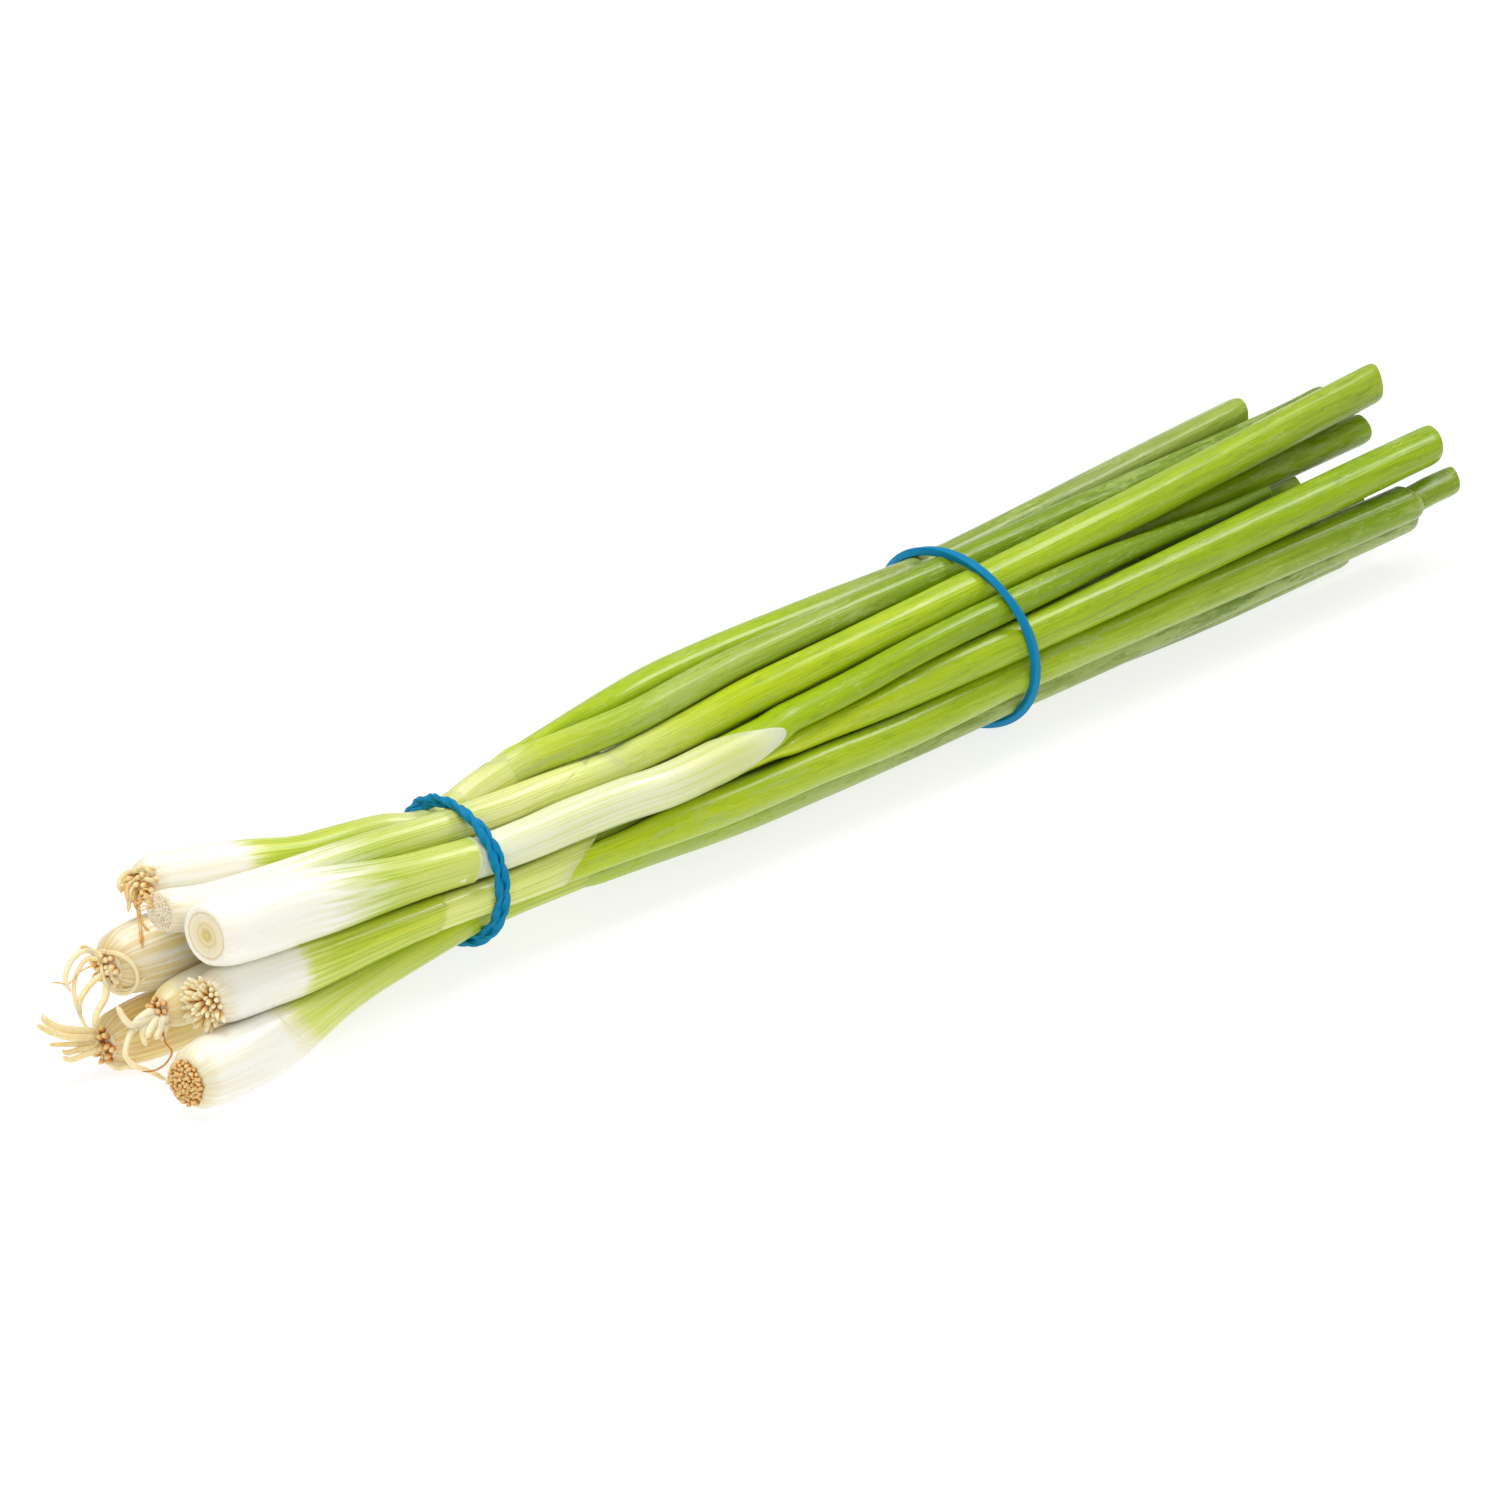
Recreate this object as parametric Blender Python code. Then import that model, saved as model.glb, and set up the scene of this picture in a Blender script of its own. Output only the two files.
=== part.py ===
# A bunch of eight spring onions held by two rubber bands, lying on a table.
# X runs along the bunch from the roots to the cut leaf ends, Y across it, and the bunch lies on z = 0.
# The origin is at the middle of the bunch's outline, on the table.

import math

import bmesh
import bpy
import numpy as np

OBJECT_NAME = "spring_onion_bunch"

# Driving dimensions, in millimetres.
MM = 0.001
TOUCH_GAP = 0.3  # air kept between two pieces that touch
FLOOR_SQUEEZE = 0.87  # a piece lying on the table keeps this share of its radius as its height
SIDE_SQUEEZE = 0.93  # neighbours press together to this share of their radii

# The two bands: where they are along the bunch, the middle of the loop and the radius inside it. flare is
# how much the bunch widens for each mm away from a band.
BULB_BAND = {"x": 77.0, "middle": (-0.5, 17.3), "inside": 12.9, "flare": 0.35, "strand": 0.75, "lean": 0.0}
LEAF_BAND = {"x": 220.5, "middle": (0.5, 19.5), "inside": 18.1, "flare": 0.2, "strand": 0.9, "lean": 3.6}
LEAN_TOWARDS = 55.0  # degrees round the bunch where a leaning band is nearest the roots
BAND_HOLD = 14.0  # mm each side of a band where it holds the bunch in

# Planes across the bunch where each outline is drawn, close together where the shape changes quickly.
BULB_PLANES = (-8.0, -5.5, -3.0, 0.0, 3.0, 6.5, 11.0, 17.0, 25.0, 35.0, 46.0, 57.0, 67.0)
STEM_PLANES = (77.0, 88.0, 100.0, 112.0, 125.0, 139.0, 154.0, 166.0, 178.0, 191.0, 205.0)
LEAF_PLANES = (220.5, 236.0, 254.0, 273.0, 292.0, 311.0, 330.0, 345.0, 360.0)
PLANES = np.array(BULB_PLANES + STEM_PLANES + LEAF_PLANES)

SHANK_SIDES = 12
LEAF_SIDES = 10
LEAF_BORE = 0.72  # the hollow's share of the leaf's width
BORE_DEPTH = 0.9  # share of a leaf that is hollow, from its cut end
UNFOLD_LENGTH = 38.0  # mm over which two leaves part from a collar
FOLD_OFFSET = 0.2  # share of the stem's radius that each leaf's middle is off the stem's at the collar
FOLD_RADIUS = 0.92  # share of the stem's radius that each leaf has there
YIELD_LENGTH = 16.0  # mm past its ends where a piece still shapes its neighbours
END_NARROWING = 16.0  # mm from a root end to the widest part of the bulb
COLLAR_SWELL = 0.35  # mm that the stem's radius grows where the leaves part
COLLAR_SWELL_LENGTH = 14.0
LEAF_THINNING = 0.03  # share of its radius that a leaf loses towards its cut end
LEAF_THINNING_LENGTH = 130.0

# How the pieces are pressed together.
SETTLE_ROUNDS = 260
LAST_ROUNDS = 25  # rounds at the end without smoothing
PUSH_SHARE = 0.28  # share of each overlap that one round takes away
PRESS_LENGTH = 12.0  # mm past its ends where a piece still pushes its neighbours away
BAND_PRESS = 0.97  # share of its radius that a piece keeps under a band

# The root plates: a disc of tissue on each bulb's end, that the roots grow from.
PLATE_SHARE = 0.72  # the plate's radius as a share of the root end's
PLATE_TAPER = 0.8
PLATE_THICKNESS = 1.3
PLATE_SIDES = 10
ROOT_DEPTH = 0.6  # mm that a root starts inside its plate
ROOT_PLACES = 0.72  # share of the plate's radius where the outermost roots start
ROOT_THINNING = 0.45  # share of its width that a root loses towards its tip
GOLDEN_TURN = math.pi * (3 - math.sqrt(5))

# Each onion in order round the bunch. root is the middle of its root end. bulb and neck are radii, and end
# is the share of the bulb's radius left at the root end. waist is how far along the bulb has thinned to the
# neck. ring gives its place in the bulb band, as degrees round from +Y and as a share of the way out. collar
# is where its leaves part. Each leaf has its place in the leaf band, its radius, the middle of its cut end,
# and the slant of the cut. A stem or leaf that strays from the straight way between the bands has via, the
# points that it passes, one that strays from it before the bulb band has approach, and one that sags to
# the table after the leaf band has beyond.
ONIONS = {
    "onion_1": {
        "root": (9.0, 13.7, 32.6), "bulb": 5.4, "end": 0.72, "waist": 58.0, "neck": 3.6, "ring": (50, 1.03),
        "approach": [(35.0, 10.2, 28.7), (46.0, 9.0, 27.2), (57.0, 8.6, 26.7), (67.0, 7.2, 26.2)],
        "via": [(88.0, 4.8, 27.4), (102.0, 3.6, 30.9)], "collar": 103.0,
        "leaves": [
            {"ring": (61, 1.06), "radius": 4.0, "tip": (321.0, 14.0, 32.2), "slant": 0.25,
             "via": [(122.0, 3.6, 34.2), (152.0, 5.7, 34.6), (184.0, 7.3, 33.6)]},
            {"ring": (90, 1.04), "radius": 3.4, "tip": (342.0, 11.0, 30.5), "slant": -0.2,
             "via": [(118.0, -0.6, 31.4), (146.0, -0.6, 33.2), (182.0, -0.9, 34.4)]},
        ],
    },
    "onion_2": {
        "root": (3.0, 2.0, 32.3), "bulb": 4.5, "end": 0.92, "waist": 65.0, "neck": 3.9, "ring": (110, 1.0),
        "approach": [(16.0, 1.8, 29.0), (27.0, 1.4, 27.8), (40.0, 0.4, 27.4), (57.0, -1.2, 26.9)],
        "collar": 125.0,
        "leaves": [
            {"ring": (120, 1.0), "radius": 4.1, "tip": (350.0, 3.8, 34.0), "slant": 0.4},
            {"ring": (110, 0.45), "radius": 3.3, "tip": (346.0, 3.5, 25.0), "slant": 0.1},
        ],
    },
    "onion_3": {
        "root": (3.0, -9.4, 30.6), "bulb": 7.4, "end": 0.8, "waist": 65.0, "neck": 4.5, "ring": (150, 1.0),
        "collar": 160.0,
        "leaves": [
            {"ring": (143, 0.95), "radius": 3.1, "tip": (308.0, -4.3, 24.5), "slant": 0.2},
            {"ring": (165, 1.0), "radius": 4.2, "tip": (350.0, -12.0, 25.0), "slant": 0.35},
        ],
    },
    "onion_4": {
        "root": (3.0, -9.1, 17.6), "bulb": 5.9, "end": 0.8, "waist": 60.0, "neck": 3.6, "ring": (188, 1.0),
        "collar": 104.0,
        "leaves": [
            {"ring": (192, 1.0), "radius": 4.0, "tip": (354.0, -14.3, 15.8), "slant": 0.45},
            {"ring": (200, 0.42), "radius": 3.0, "tip": (340.0, -0.9, 11.4), "slant": 0.1},
        ],
    },
    "onion_5": {
        "root": (-8.0, -15.0, 7.0), "bulb": 7.0, "end": 0.72, "waist": 46.0, "neck": 3.8, "ring": (227, 1.0),
        "collar": 112.0,
        "leaves": [
            {"ring": (220, 0.97), "radius": 3.9, "tip": (346.0, -9.6, 10.6), "slant": 0.3},
            {"ring": (256, 1.0), "radius": 3.3, "tip": (334.0, -1.2, 2.2), "slant": -0.1,
             "beyond": [(292.0, -2.6, 2.3)]},
        ],
    },
    "onion_6": {
        "root": (-3.0, 10.6, 20.8), "bulb": 7.3, "end": 0.6, "waist": 60.0, "neck": 3.9, "ring": (10, 1.0),
        "collar": 125.0,
        "leaves": [
            {"ring": (34, 1.0), "radius": 3.5, "tip": (331.0, 15.5, 26.0), "slant": 0.1},
            {"ring": (5, 1.0), "radius": 3.2, "tip": (350.0, 16.0, 18.5), "slant": -0.2},
        ],
    },
    "onion_7": {
        "root": (-5.0, 10.0, 5.7), "bulb": 6.4, "end": 0.6, "waist": 55.0, "neck": 3.7, "ring": (278, 1.0),
        "collar": 118.0,
        "leaves": [
            {"ring": (284, 1.0), "radius": 3.5, "tip": (327.0, 5.5, 2.7), "slant": 0.15,
             "beyond": [(285.0, 4.2, 2.8)]},
            {"ring": (310, 1.0), "radius": 3.3, "tip": (345.0, 11.8, 2.6), "slant": 0.0,
             "beyond": [(300.0, 11.0, 2.8)]},
        ],
    },
    "onion_8": {
        "root": (-1.0, -1.0, 14.6), "bulb": 5.0, "end": 0.62, "waist": 50.0, "neck": 3.4, "ring": (320, 0.55),
        "collar": 132.0,
        "leaves": [
            {"ring": (336, 1.0), "radius": 3.2, "tip": (338.0, 14.5, 11.0), "slant": 0.1},
            {"ring": (345, 0.35), "radius": 2.8, "tip": (314.0, 7.0, 15.5), "slant": -0.1},
        ],
    },
}


def smooth_step(share):
    share = np.clip(share, 0.0, 1.0)
    return share * share * (3 - 2 * share)


def around(angle):
    return np.array([math.cos(angle), math.sin(angle)])


def place_in_band(band, ring, radius):
    angle, share = ring
    return np.array(band["middle"]) + share * (band["inside"] - radius) * around(math.radians(angle))


def curve_through(knots, values, x):
    # A smooth curve through the knots, each stretch a cubic with slopes taken from its neighbours.
    knots, values = np.array(knots), np.array(values)
    slopes = np.gradient(values, knots, axis=0)
    x = max(x, knots[0])
    index = int(np.clip(np.searchsorted(knots, x) - 1, 0, len(knots) - 2))
    span = knots[index + 1] - knots[index]
    t = (x - knots[index]) / span
    start, end = values[index], values[index + 1]
    rise = span * slopes[index], span * slopes[index + 1]
    bend = (2 * t**3 - 3 * t**2 + 1) * start + (3 * t**2 - 2 * t**3) * end
    return bend + (t**3 - 2 * t**2 + t) * rise[0] + (t**3 - t**2) * rise[1]


class Strand:
    # One stem or leaf: its wished route through the given (x, y, z) points, its radius along X, and its ends.
    def __init__(self, name, onion_name, start, end, points, radius):
        self.name = name
        self.onion_name = onion_name
        self.start = start
        self.end = end
        self.partner = None
        self.radius = radius
        knots, places = [point[0] for point in points], [point[1:] for point in points]
        self.route = np.array([curve_through(knots, places, x) for x in PLANES])

    def middle(self, x):
        return np.array([np.interp(x, PLANES, self.route[:, axis]) for axis in (0, 1)])

    def fills(self, x, margin=1e-6):
        return self.start - margin <= x <= self.end + margin


def shank_radius(onion):
    start, bulb, neck = onion["root"][0], onion["bulb"], onion["neck"]
    belly = start + END_NARROWING
    waist = onion["waist"]

    def radius(x):
        if x < belly:
            share = math.sqrt(max(0.0, 1 - ((belly - x) / END_NARROWING) ** 2))
            return bulb * (onion["end"] + (1 - onion["end"]) * share)
        swell = COLLAR_SWELL * math.exp(-(((x - onion["collar"]) / COLLAR_SWELL_LENGTH) ** 2))
        return neck + (bulb - neck) * (1 - float(smooth_step((x - belly) / (waist - belly)))) + swell

    return radius


def leaf_radius(onion, leaf):
    at_collar = FOLD_RADIUS * shank_radius(onion)(onion["collar"])

    def radius(x):
        open_share = float(smooth_step((x - onion["collar"]) / UNFOLD_LENGTH))
        taper = 1 - LEAF_THINNING * float(smooth_step((x - LEAF_BAND["x"]) / LEAF_THINNING_LENGTH))
        return at_collar * (1 - open_share) + leaf["radius"] * open_share * taper

    return radius


def strands_of(name, onion):
    # The shank runs from the root end to the collar, and the two leaves on from there, side by side.
    at_band = place_in_band(BULB_BAND, onion["ring"], onion["neck"])
    in_band = [place_in_band(LEAF_BAND, leaf["ring"], leaf["radius"]) for leaf in onion["leaves"]]
    pair_middle = np.mean(in_band, axis=0)
    points = [onion["root"], *onion.get("approach", []), (BULB_BAND["x"], *at_band), *onion.get("via", [])]
    points.append((LEAF_BAND["x"], *pair_middle))
    collar = onion["collar"]
    shank = Strand(name + "_bulb_and_shank", name, onion["root"][0], collar, points, shank_radius(onion))
    ahead = []
    for leaf, place in zip(onion["leaves"], in_band):
        ahead.append(np.array(leaf["via"][0][1:]) if "via" in leaf else place)
    pair = []
    for letter, leaf, place, aim in zip("ab", onion["leaves"], in_band, ahead):
        sideways = aim - np.mean(ahead, axis=0)
        sideways /= np.linalg.norm(sideways)
        at_collar = shank.middle(collar) + FOLD_OFFSET * onion["neck"] * sideways
        points = [(collar, *at_collar), *leaf.get("via", []), (LEAF_BAND["x"], *place)]
        points += [*leaf.get("beyond", []), leaf["tip"]]
        start, end = collar + TOUCH_GAP, leaf["tip"][0]
        strand = Strand(name + "_leaf_" + letter, name, start, end, points, leaf_radius(onion, leaf))
        folded = PLANES <= collar  # inside the shank a leaf keeps to the shank's route
        strand.route[folded] = shank.route[folded] + FOLD_OFFSET * onion["neck"] * sideways
        strand.slant = leaf["slant"]
        strand.collar = collar
        pair.append(strand)
    pair[0].partner, pair[1].partner = pair[1], pair[0]
    return [shank] + pair


def wished_distance(one, other, x):
    full = SIDE_SQUEEZE * (one.radius(x) + other.radius(x))
    if one.partner is not other:
        return full
    parted = float(smooth_step((x - one.collar) / UNFOLD_LENGTH))
    return 2 * FOLD_OFFSET * one.radius(x) * (1 - parted) + full * parted


def hold_in_band(route, radii, band):
    away = np.abs(PLANES - band["x"])
    near = away <= BAND_HOLD
    out = route - np.array(band["middle"])
    distance = np.linalg.norm(out, axis=2)
    room = band["inside"] + band["flare"] * away - BAND_PRESS * radii
    pull = np.where(near[None] & (distance > room), room / np.maximum(distance, 1e-6), 1.0)
    return np.array(band["middle"]) + out * pull[..., None]


def settle(strands):
    # Neighbours push each other apart, the table and the bands push back, and each route stays smooth.
    count = len(strands)
    wished = np.array([strand.route for strand in strands])
    radii = np.array([[strand.radius(x) for x in PLANES] for strand in strands])
    there = np.array([[strand.fills(x, PRESS_LENGTH) for x in PLANES] for strand in strands])
    apart = np.zeros((count, count, len(PLANES)))
    for i, one in enumerate(strands):
        for j, other in enumerate(strands):
            if one.onion_name != other.onion_name or one.partner is other:
                apart[i, j] = [wished_distance(one, other, x) for x in PLANES]
    apart *= there[:, None] & there[None]
    route = wished.copy()
    for step in range(SETTLE_ROUNDS):
        gap = route[:, None] - route[None]
        distance = np.maximum(np.linalg.norm(gap, axis=3), 0.05)
        overlap = np.clip(apart - distance, 0, None)
        route = route + PUSH_SHARE * (gap / distance[..., None] * overlap[..., None]).sum(axis=1)
        if step < SETTLE_ROUNDS - LAST_ROUNDS:
            shift = route - wished
            shift[:, 1:-1] = 0.5 * shift[:, 1:-1] + 0.25 * (shift[:, :-2] + shift[:, 2:])
            route = wished + shift
        for band in (BULB_BAND, LEAF_BAND):
            route = hold_in_band(route, radii, band)
        route[..., 1] = np.maximum(route[..., 1], FLOOR_SQUEEZE * radii)
    for strand, settled in zip(strands, route):
        strand.route = settled


def ray_length(origin, direction, middle, radius, walls):
    # How far a ray runs before it leaves the circle or meets a wall given as (normal, offset).
    back = origin - middle
    along = float(back @ direction)
    length = -along + math.sqrt(max(0.0, along * along - float(back @ back) + radius * radius))
    for normal, offset in walls:
        facing = float(normal @ direction)
        if facing > 1e-6:
            length = min(length, max(0.0, (offset - float(normal @ origin)) / facing))
    return length


def outline(strand, strands, x, sides):
    # The piece's cross-section: a circle, flattened where a neighbour or the table presses on it.
    middle, radius = strand.middle(x), strand.radius(x)
    walls = [(np.array([0.0, -1.0]), 0.0)]
    for other in strands:
        margin = 1e-6 if other.onion_name == strand.onion_name else YIELD_LENGTH
        if other is strand or not other.fills(x, margin):
            continue
        step = other.middle(x) - middle
        distance = float(np.linalg.norm(step))
        share = (distance**2 + radius**2 - other.radius(x) ** 2) / (2 * distance)
        normal = step / distance
        air = TOUCH_GAP if other is strand.partner else TOUCH_GAP / 2
        walls.append((normal, float(normal @ middle) + share - air))
    rays = [around(2 * math.pi * k / 24) for k in range(24)]
    rough = np.array([middle + ray * ray_length(middle, ray, middle, radius, walls) for ray in rays])
    centre = rough.mean(axis=0)
    first = -math.pi / 2 + math.pi / sides
    rays = [around(first + 2 * math.pi * k / sides) for k in range(sides)]
    points = np.array([centre + ray * ray_length(centre, ray, middle, radius, walls) for ray in rays])
    return centre, points


def planes_between(start, end):
    # The planes that a piece crosses, without any that would lie too close to its ends.
    inner = [x for x in PLANES if start + 1.2 < x < end - 2.5]
    return [start] + inner + [end]


def slanted(points, centre, x, slant):
    return [(x + slant * (point[0] - centre[0]), point[0], point[1]) for point in points]


def loft(rings, closed=False):
    # Skins a row of rings that all have the same number of points. The ends are capped, or joined if closed.
    mesh = bmesh.new()
    rows = [[mesh.verts.new(np.array(point) * MM) for point in ring] for ring in rings]
    sides = len(rings[0])
    following = rows[1:] + rows[:1] if closed else rows[1:]
    for row, next_row in zip(rows, following):
        for k in range(sides):
            corner = (k + 1) % sides
            mesh.faces.new((row[k], next_row[k], next_row[corner], row[corner]))
    if not closed:
        mesh.faces.new(rows[0])
        mesh.faces.new(list(reversed(rows[-1])))
    bmesh.ops.triangulate(mesh, faces=mesh.faces[:], quad_method="FIXED", ngon_method="EAR_CLIP")
    bmesh.ops.recalc_face_normals(mesh, faces=mesh.faces[:])
    return mesh


def add_object(name, mesh, material, collection):
    data = bpy.data.meshes.new(name)
    mesh.to_mesh(data)
    mesh.free()
    data.materials.append(material)
    data.shade_smooth()
    data.set_sharp_from_angle(angle=math.radians(50))
    made = bpy.data.objects.new(name, data)
    collection.objects.link(made)
    return made


def plain_material(name, colour, roughness):
    material = bpy.data.materials.new(name)
    material.use_nodes = True
    shader = material.node_tree.nodes["Principled BSDF"]
    shader.inputs["Base Color"].default_value = (*colour, 1.0)
    shader.inputs["Roughness"].default_value = roughness
    material.diffuse_color = (*colour, 1.0)
    return material


def make_shank(strand, strands, material, collection):
    rings = []
    for x in planes_between(strand.start, strand.end):
        centre, points = outline(strand, strands, x, SHANK_SIDES)
        rings.append(slanted(points, centre, x, 0.0))
    return add_object(strand.name, loft(rings), material, collection)


def make_leaf(strand, strands, material, collection):
    # The outside runs from the collar to the cut end, and the hollow runs back inside it.
    outside, hollow = [], []
    planes = planes_between(strand.start, strand.end)
    bore_start = strand.end - BORE_DEPTH * (strand.end - strand.start)
    for x in planes:
        centre, points = outline(strand, strands, x, LEAF_SIDES)
        slant = strand.slant if x == strand.end else 0.0
        outside.append(slanted(points, centre, x, slant))
        if x > bore_start and (planes.index(x) % 2 == len(planes) % 2 - 1 or x == strand.end):
            inner = centre + LEAF_BORE * (points - centre)
            hollow.append(slanted(inner, centre, x, slant))
    return add_object(strand.name, loft(outside + hollow[::-1]), material, collection)


def push_clear(point, roots, strands):
    # Moves a root's point out of any bulb, off the table, and away from the roots above and below.
    width = roots["width"]
    x, place = point[0], np.array(point[1:])
    for strand in strands:
        if not strand.start - 1.5 <= x <= strand.end:
            continue
        inside = max(x, strand.start)
        step = place - strand.middle(inside)
        distance = max(0.01, float(np.linalg.norm(step)))
        clear = strand.radius(inside) + width + 2 * TOUCH_GAP
        if distance < clear:
            place = strand.middle(inside) + step * clear / distance
    lowest, highest = roots["between"]
    return (x, place[0], min(max(place[1], lowest + width), highest))


# Each onion's roots: how many, their length and radius, how far they spread and droop and how much they curl,
# the straight pieces in each, and the heights that they stay between. The third onion's are cut clean off.
ROOTS = {
    "onion_1": {"count": 9, "length": 8.0, "width": 0.45, "segments": 4, "between": (26.0, 40.0),
                "spread": 0.5, "droop": 0.9, "curl": 0.5},
    "onion_2": {"count": 5, "length": 4.0, "width": 0.4, "segments": 3, "between": (28.5, 40.0),
                "spread": 0.6, "droop": 0.4, "curl": 0.6},
    "onion_4": {"count": 15, "length": 2.6, "width": 0.6, "segments": 1, "between": (12.0, 30.0),
                "spread": 0.75, "droop": 0.0, "curl": 0.2},
    "onion_5": {"count": 14, "length": 1.4, "width": 0.75, "segments": 1, "between": (0.1, 14.0),
                "spread": 0.3, "droop": 0.0, "curl": 0.1},
    "onion_6": {"count": 9, "length": 12.0, "width": 0.75, "segments": 6, "between": (12.5, 30.0),
                "spread": 0.7, "droop": 0.5, "curl": 1.6},
    "onion_7": {"count": 10, "length": 12.5, "width": 0.7, "segments": 5, "between": (0.1, 10.6),
                "spread": 0.75, "droop": 0.2, "curl": 0.7},
    "onion_8": {"count": 6, "length": 6.0, "width": 1.15, "segments": 2, "between": (6.0, 20.0),
                "spread": 0.4, "droop": 0.7, "curl": 0.3},
}


def root_path(onion, roots, index, chance, plate_radius):
    # Starts inside the plate, leaves it outwards, then droops and curls.
    spread = math.sqrt((index + 0.5) / roots["count"])
    turn = GOLDEN_TURN * index
    x = onion["root"][0] - TOUCH_GAP - ROOT_DEPTH
    side = around(turn) * spread
    point = np.array([x, *(np.array(onion["root"][1:]) + ROOT_PLACES * plate_radius * side)])
    heading = np.array([-1.0, *(roots["spread"] * side)])
    length = roots["length"] * chance.uniform(0.6, 1.1)
    bend = chance.uniform(-1, 1, 2) * roots["curl"]
    steps = roots["segments"]
    path = [point]
    for k in range(steps):
        heading = heading / np.linalg.norm(heading)
        point = point + heading * (length + ROOT_DEPTH) / steps
        path.append(point)
        heading = heading + np.array([0.55 * roots["curl"], *bend]) / steps
        heading[2] -= 1.6 * roots["droop"] / steps
    return path


def make_root_tube(name, path, width, cutters):
    curve = bpy.data.curves.new(name, "CURVE")
    curve.dimensions = "3D"
    curve.bevel_depth = width * MM
    curve.bevel_resolution = 0
    curve.use_fill_caps = True
    spline = curve.splines.new("POLY")
    spline.points.add(len(path) - 1)
    for k, (place, target) in enumerate(zip(path, spline.points)):
        target.co = (*(np.array(place) * MM), 1.0)
        target.radius = 1.0 - ROOT_THINNING * k / (len(path) - 1)
    drawn = bpy.data.objects.new(name, curve)
    cutters.objects.link(drawn)
    bpy.context.view_layer.update()
    data = bpy.data.meshes.new_from_object(drawn.evaluated_get(bpy.context.evaluated_depsgraph_get()))
    bpy.data.objects.remove(drawn)
    mesh = bmesh.new()
    mesh.from_mesh(data)
    bmesh.ops.remove_doubles(mesh, verts=mesh.verts[:], dist=0.00001)
    mesh.to_mesh(data)
    mesh.free()
    tube = bpy.data.objects.new(name, data)
    cutters.objects.link(tube)
    return tube


def make_roots(name, onion, strands, material, collection, seed):
    # A disc of tissue on the bulb's end with the roots growing out of it, joined into one body.
    roots = ROOTS[name]
    chance = np.random.default_rng(seed)
    plate_radius = PLATE_SHARE * onion["end"] * onion["bulb"]
    mesh = bmesh.new()
    bmesh.ops.create_cone(
        mesh, cap_ends=True, segments=PLATE_SIDES, depth=PLATE_THICKNESS * MM,
        radius1=plate_radius * MM, radius2=PLATE_TAPER * plate_radius * MM,
    )
    plate = add_object(name + "_roots", mesh, material, collection)
    plate.rotation_euler = (0.0, -math.pi / 2, 0.0)
    shank = next(strand for strand in strands if strand.name == name + "_bulb_and_shank")
    foot = shank.middle(shank.start)
    plate.location = np.array([shank.start - TOUCH_GAP - PLATE_THICKNESS / 2, *foot]) * MM
    cutters = bpy.data.collections.new(name + "_root_tubes")
    bpy.context.scene.collection.children.link(cutters)
    settled = dict(onion, root=(shank.start, *foot))
    others = [strand for strand in strands if "shank" in strand.name and strand is not shank]
    for index in range(roots["count"]):
        path = root_path(settled, roots, index, chance, plate_radius)
        clear = [path[0]] + [push_clear(point, roots, others) for point in path[1:]]
        make_root_tube(name + "_root_tube", clear, roots["width"], cutters)
    join_collection(plate, cutters)
    return plate


def join_collection(target, cutters):
    union = target.modifiers.new("Join roots", "BOOLEAN")
    union.operation = "UNION"
    union.operand_type = "COLLECTION"
    union.collection = cutters
    union.solver = "EXACT"
    bpy.context.view_layer.update()
    joined = bpy.data.meshes.new_from_object(target.evaluated_get(bpy.context.evaluated_depsgraph_get()))
    target.modifiers.clear()
    target.data = joined
    for tube in list(cutters.objects):
        bpy.data.objects.remove(tube)
    bpy.data.collections.remove(cutters)


def band_route(band, strands, width, points=40):
    # The tightest loop round the bunch: for each way out, the furthest point of any piece near the band.
    drawn = {}
    route = []
    for k in range(points * 4):
        way = around(2 * math.pi * k / (points * 4))
        angle = 360.0 * k / (points * 4)
        x = band["x"] - band["lean"] * math.cos(math.radians(angle - LEAN_TOWARDS))
        nearby = []
        for near in (round(x - width), round(x), round(x + width)):
            if near not in drawn:
                there = [strand for strand in strands if strand.fills(near)]
                drawn[near] = np.vstack([outline(strand, strands, near, 24)[1] for strand in there])
            nearby.append(drawn[near])
        nearby = np.vstack(nearby)
        support = nearby[np.argmax(nearby @ way)]
        route.append((x, *(support + way * (band["strand"] + TOUCH_GAP))))
    return even_steps(np.array(route), points)


def even_steps(route, points):
    looped = np.vstack([route, route[:1]])
    reach = np.concatenate([[0.0], np.cumsum(np.linalg.norm(np.diff(looped, axis=0), axis=1))])
    wanted = np.linspace(0.0, reach[-1], points, endpoint=False)
    return np.stack([np.interp(wanted, reach, looped[:, axis]) for axis in range(3)], axis=1)


def make_band(name, band, strands, profile, material, collection):
    # Sweeps the profile, given as (along the bunch, outwards), round the loop, and flattens it on the table.
    reach = max(abs(along) for along, _ in profile)
    route = band_route(band, strands, reach)
    rings = []
    for k, place in enumerate(route):
        run = route[(k + 1) % len(route)] - route[k - 1]
        out = np.array([0.0, run[2], -run[1]]) / np.hypot(run[1], run[2])
        ring = [place + np.array([along, 0, 0]) + out * outwards for along, outwards in profile]
        rings.append([(x, y, max(z, 0.0)) for x, y, z in ring])
    return add_object(name, loft(rings, closed=True), material, collection)


def round_profile(radius, sides):
    return [tuple(radius * around(2 * math.pi * k / sides)) for k in range(sides)]


def doubled_profile(radius):
    # Two strands side by side, touching along a groove.
    pair = []
    for middle, angles in ((radius * 0.9, (-100, -40, 20, 75)), (-radius * 0.9, (105, 160, 220, 280))):
        for angle in angles:
            turned = around(math.radians(angle))
            pair.append((middle + radius * turned[0], radius * turned[1]))
    return pair


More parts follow.
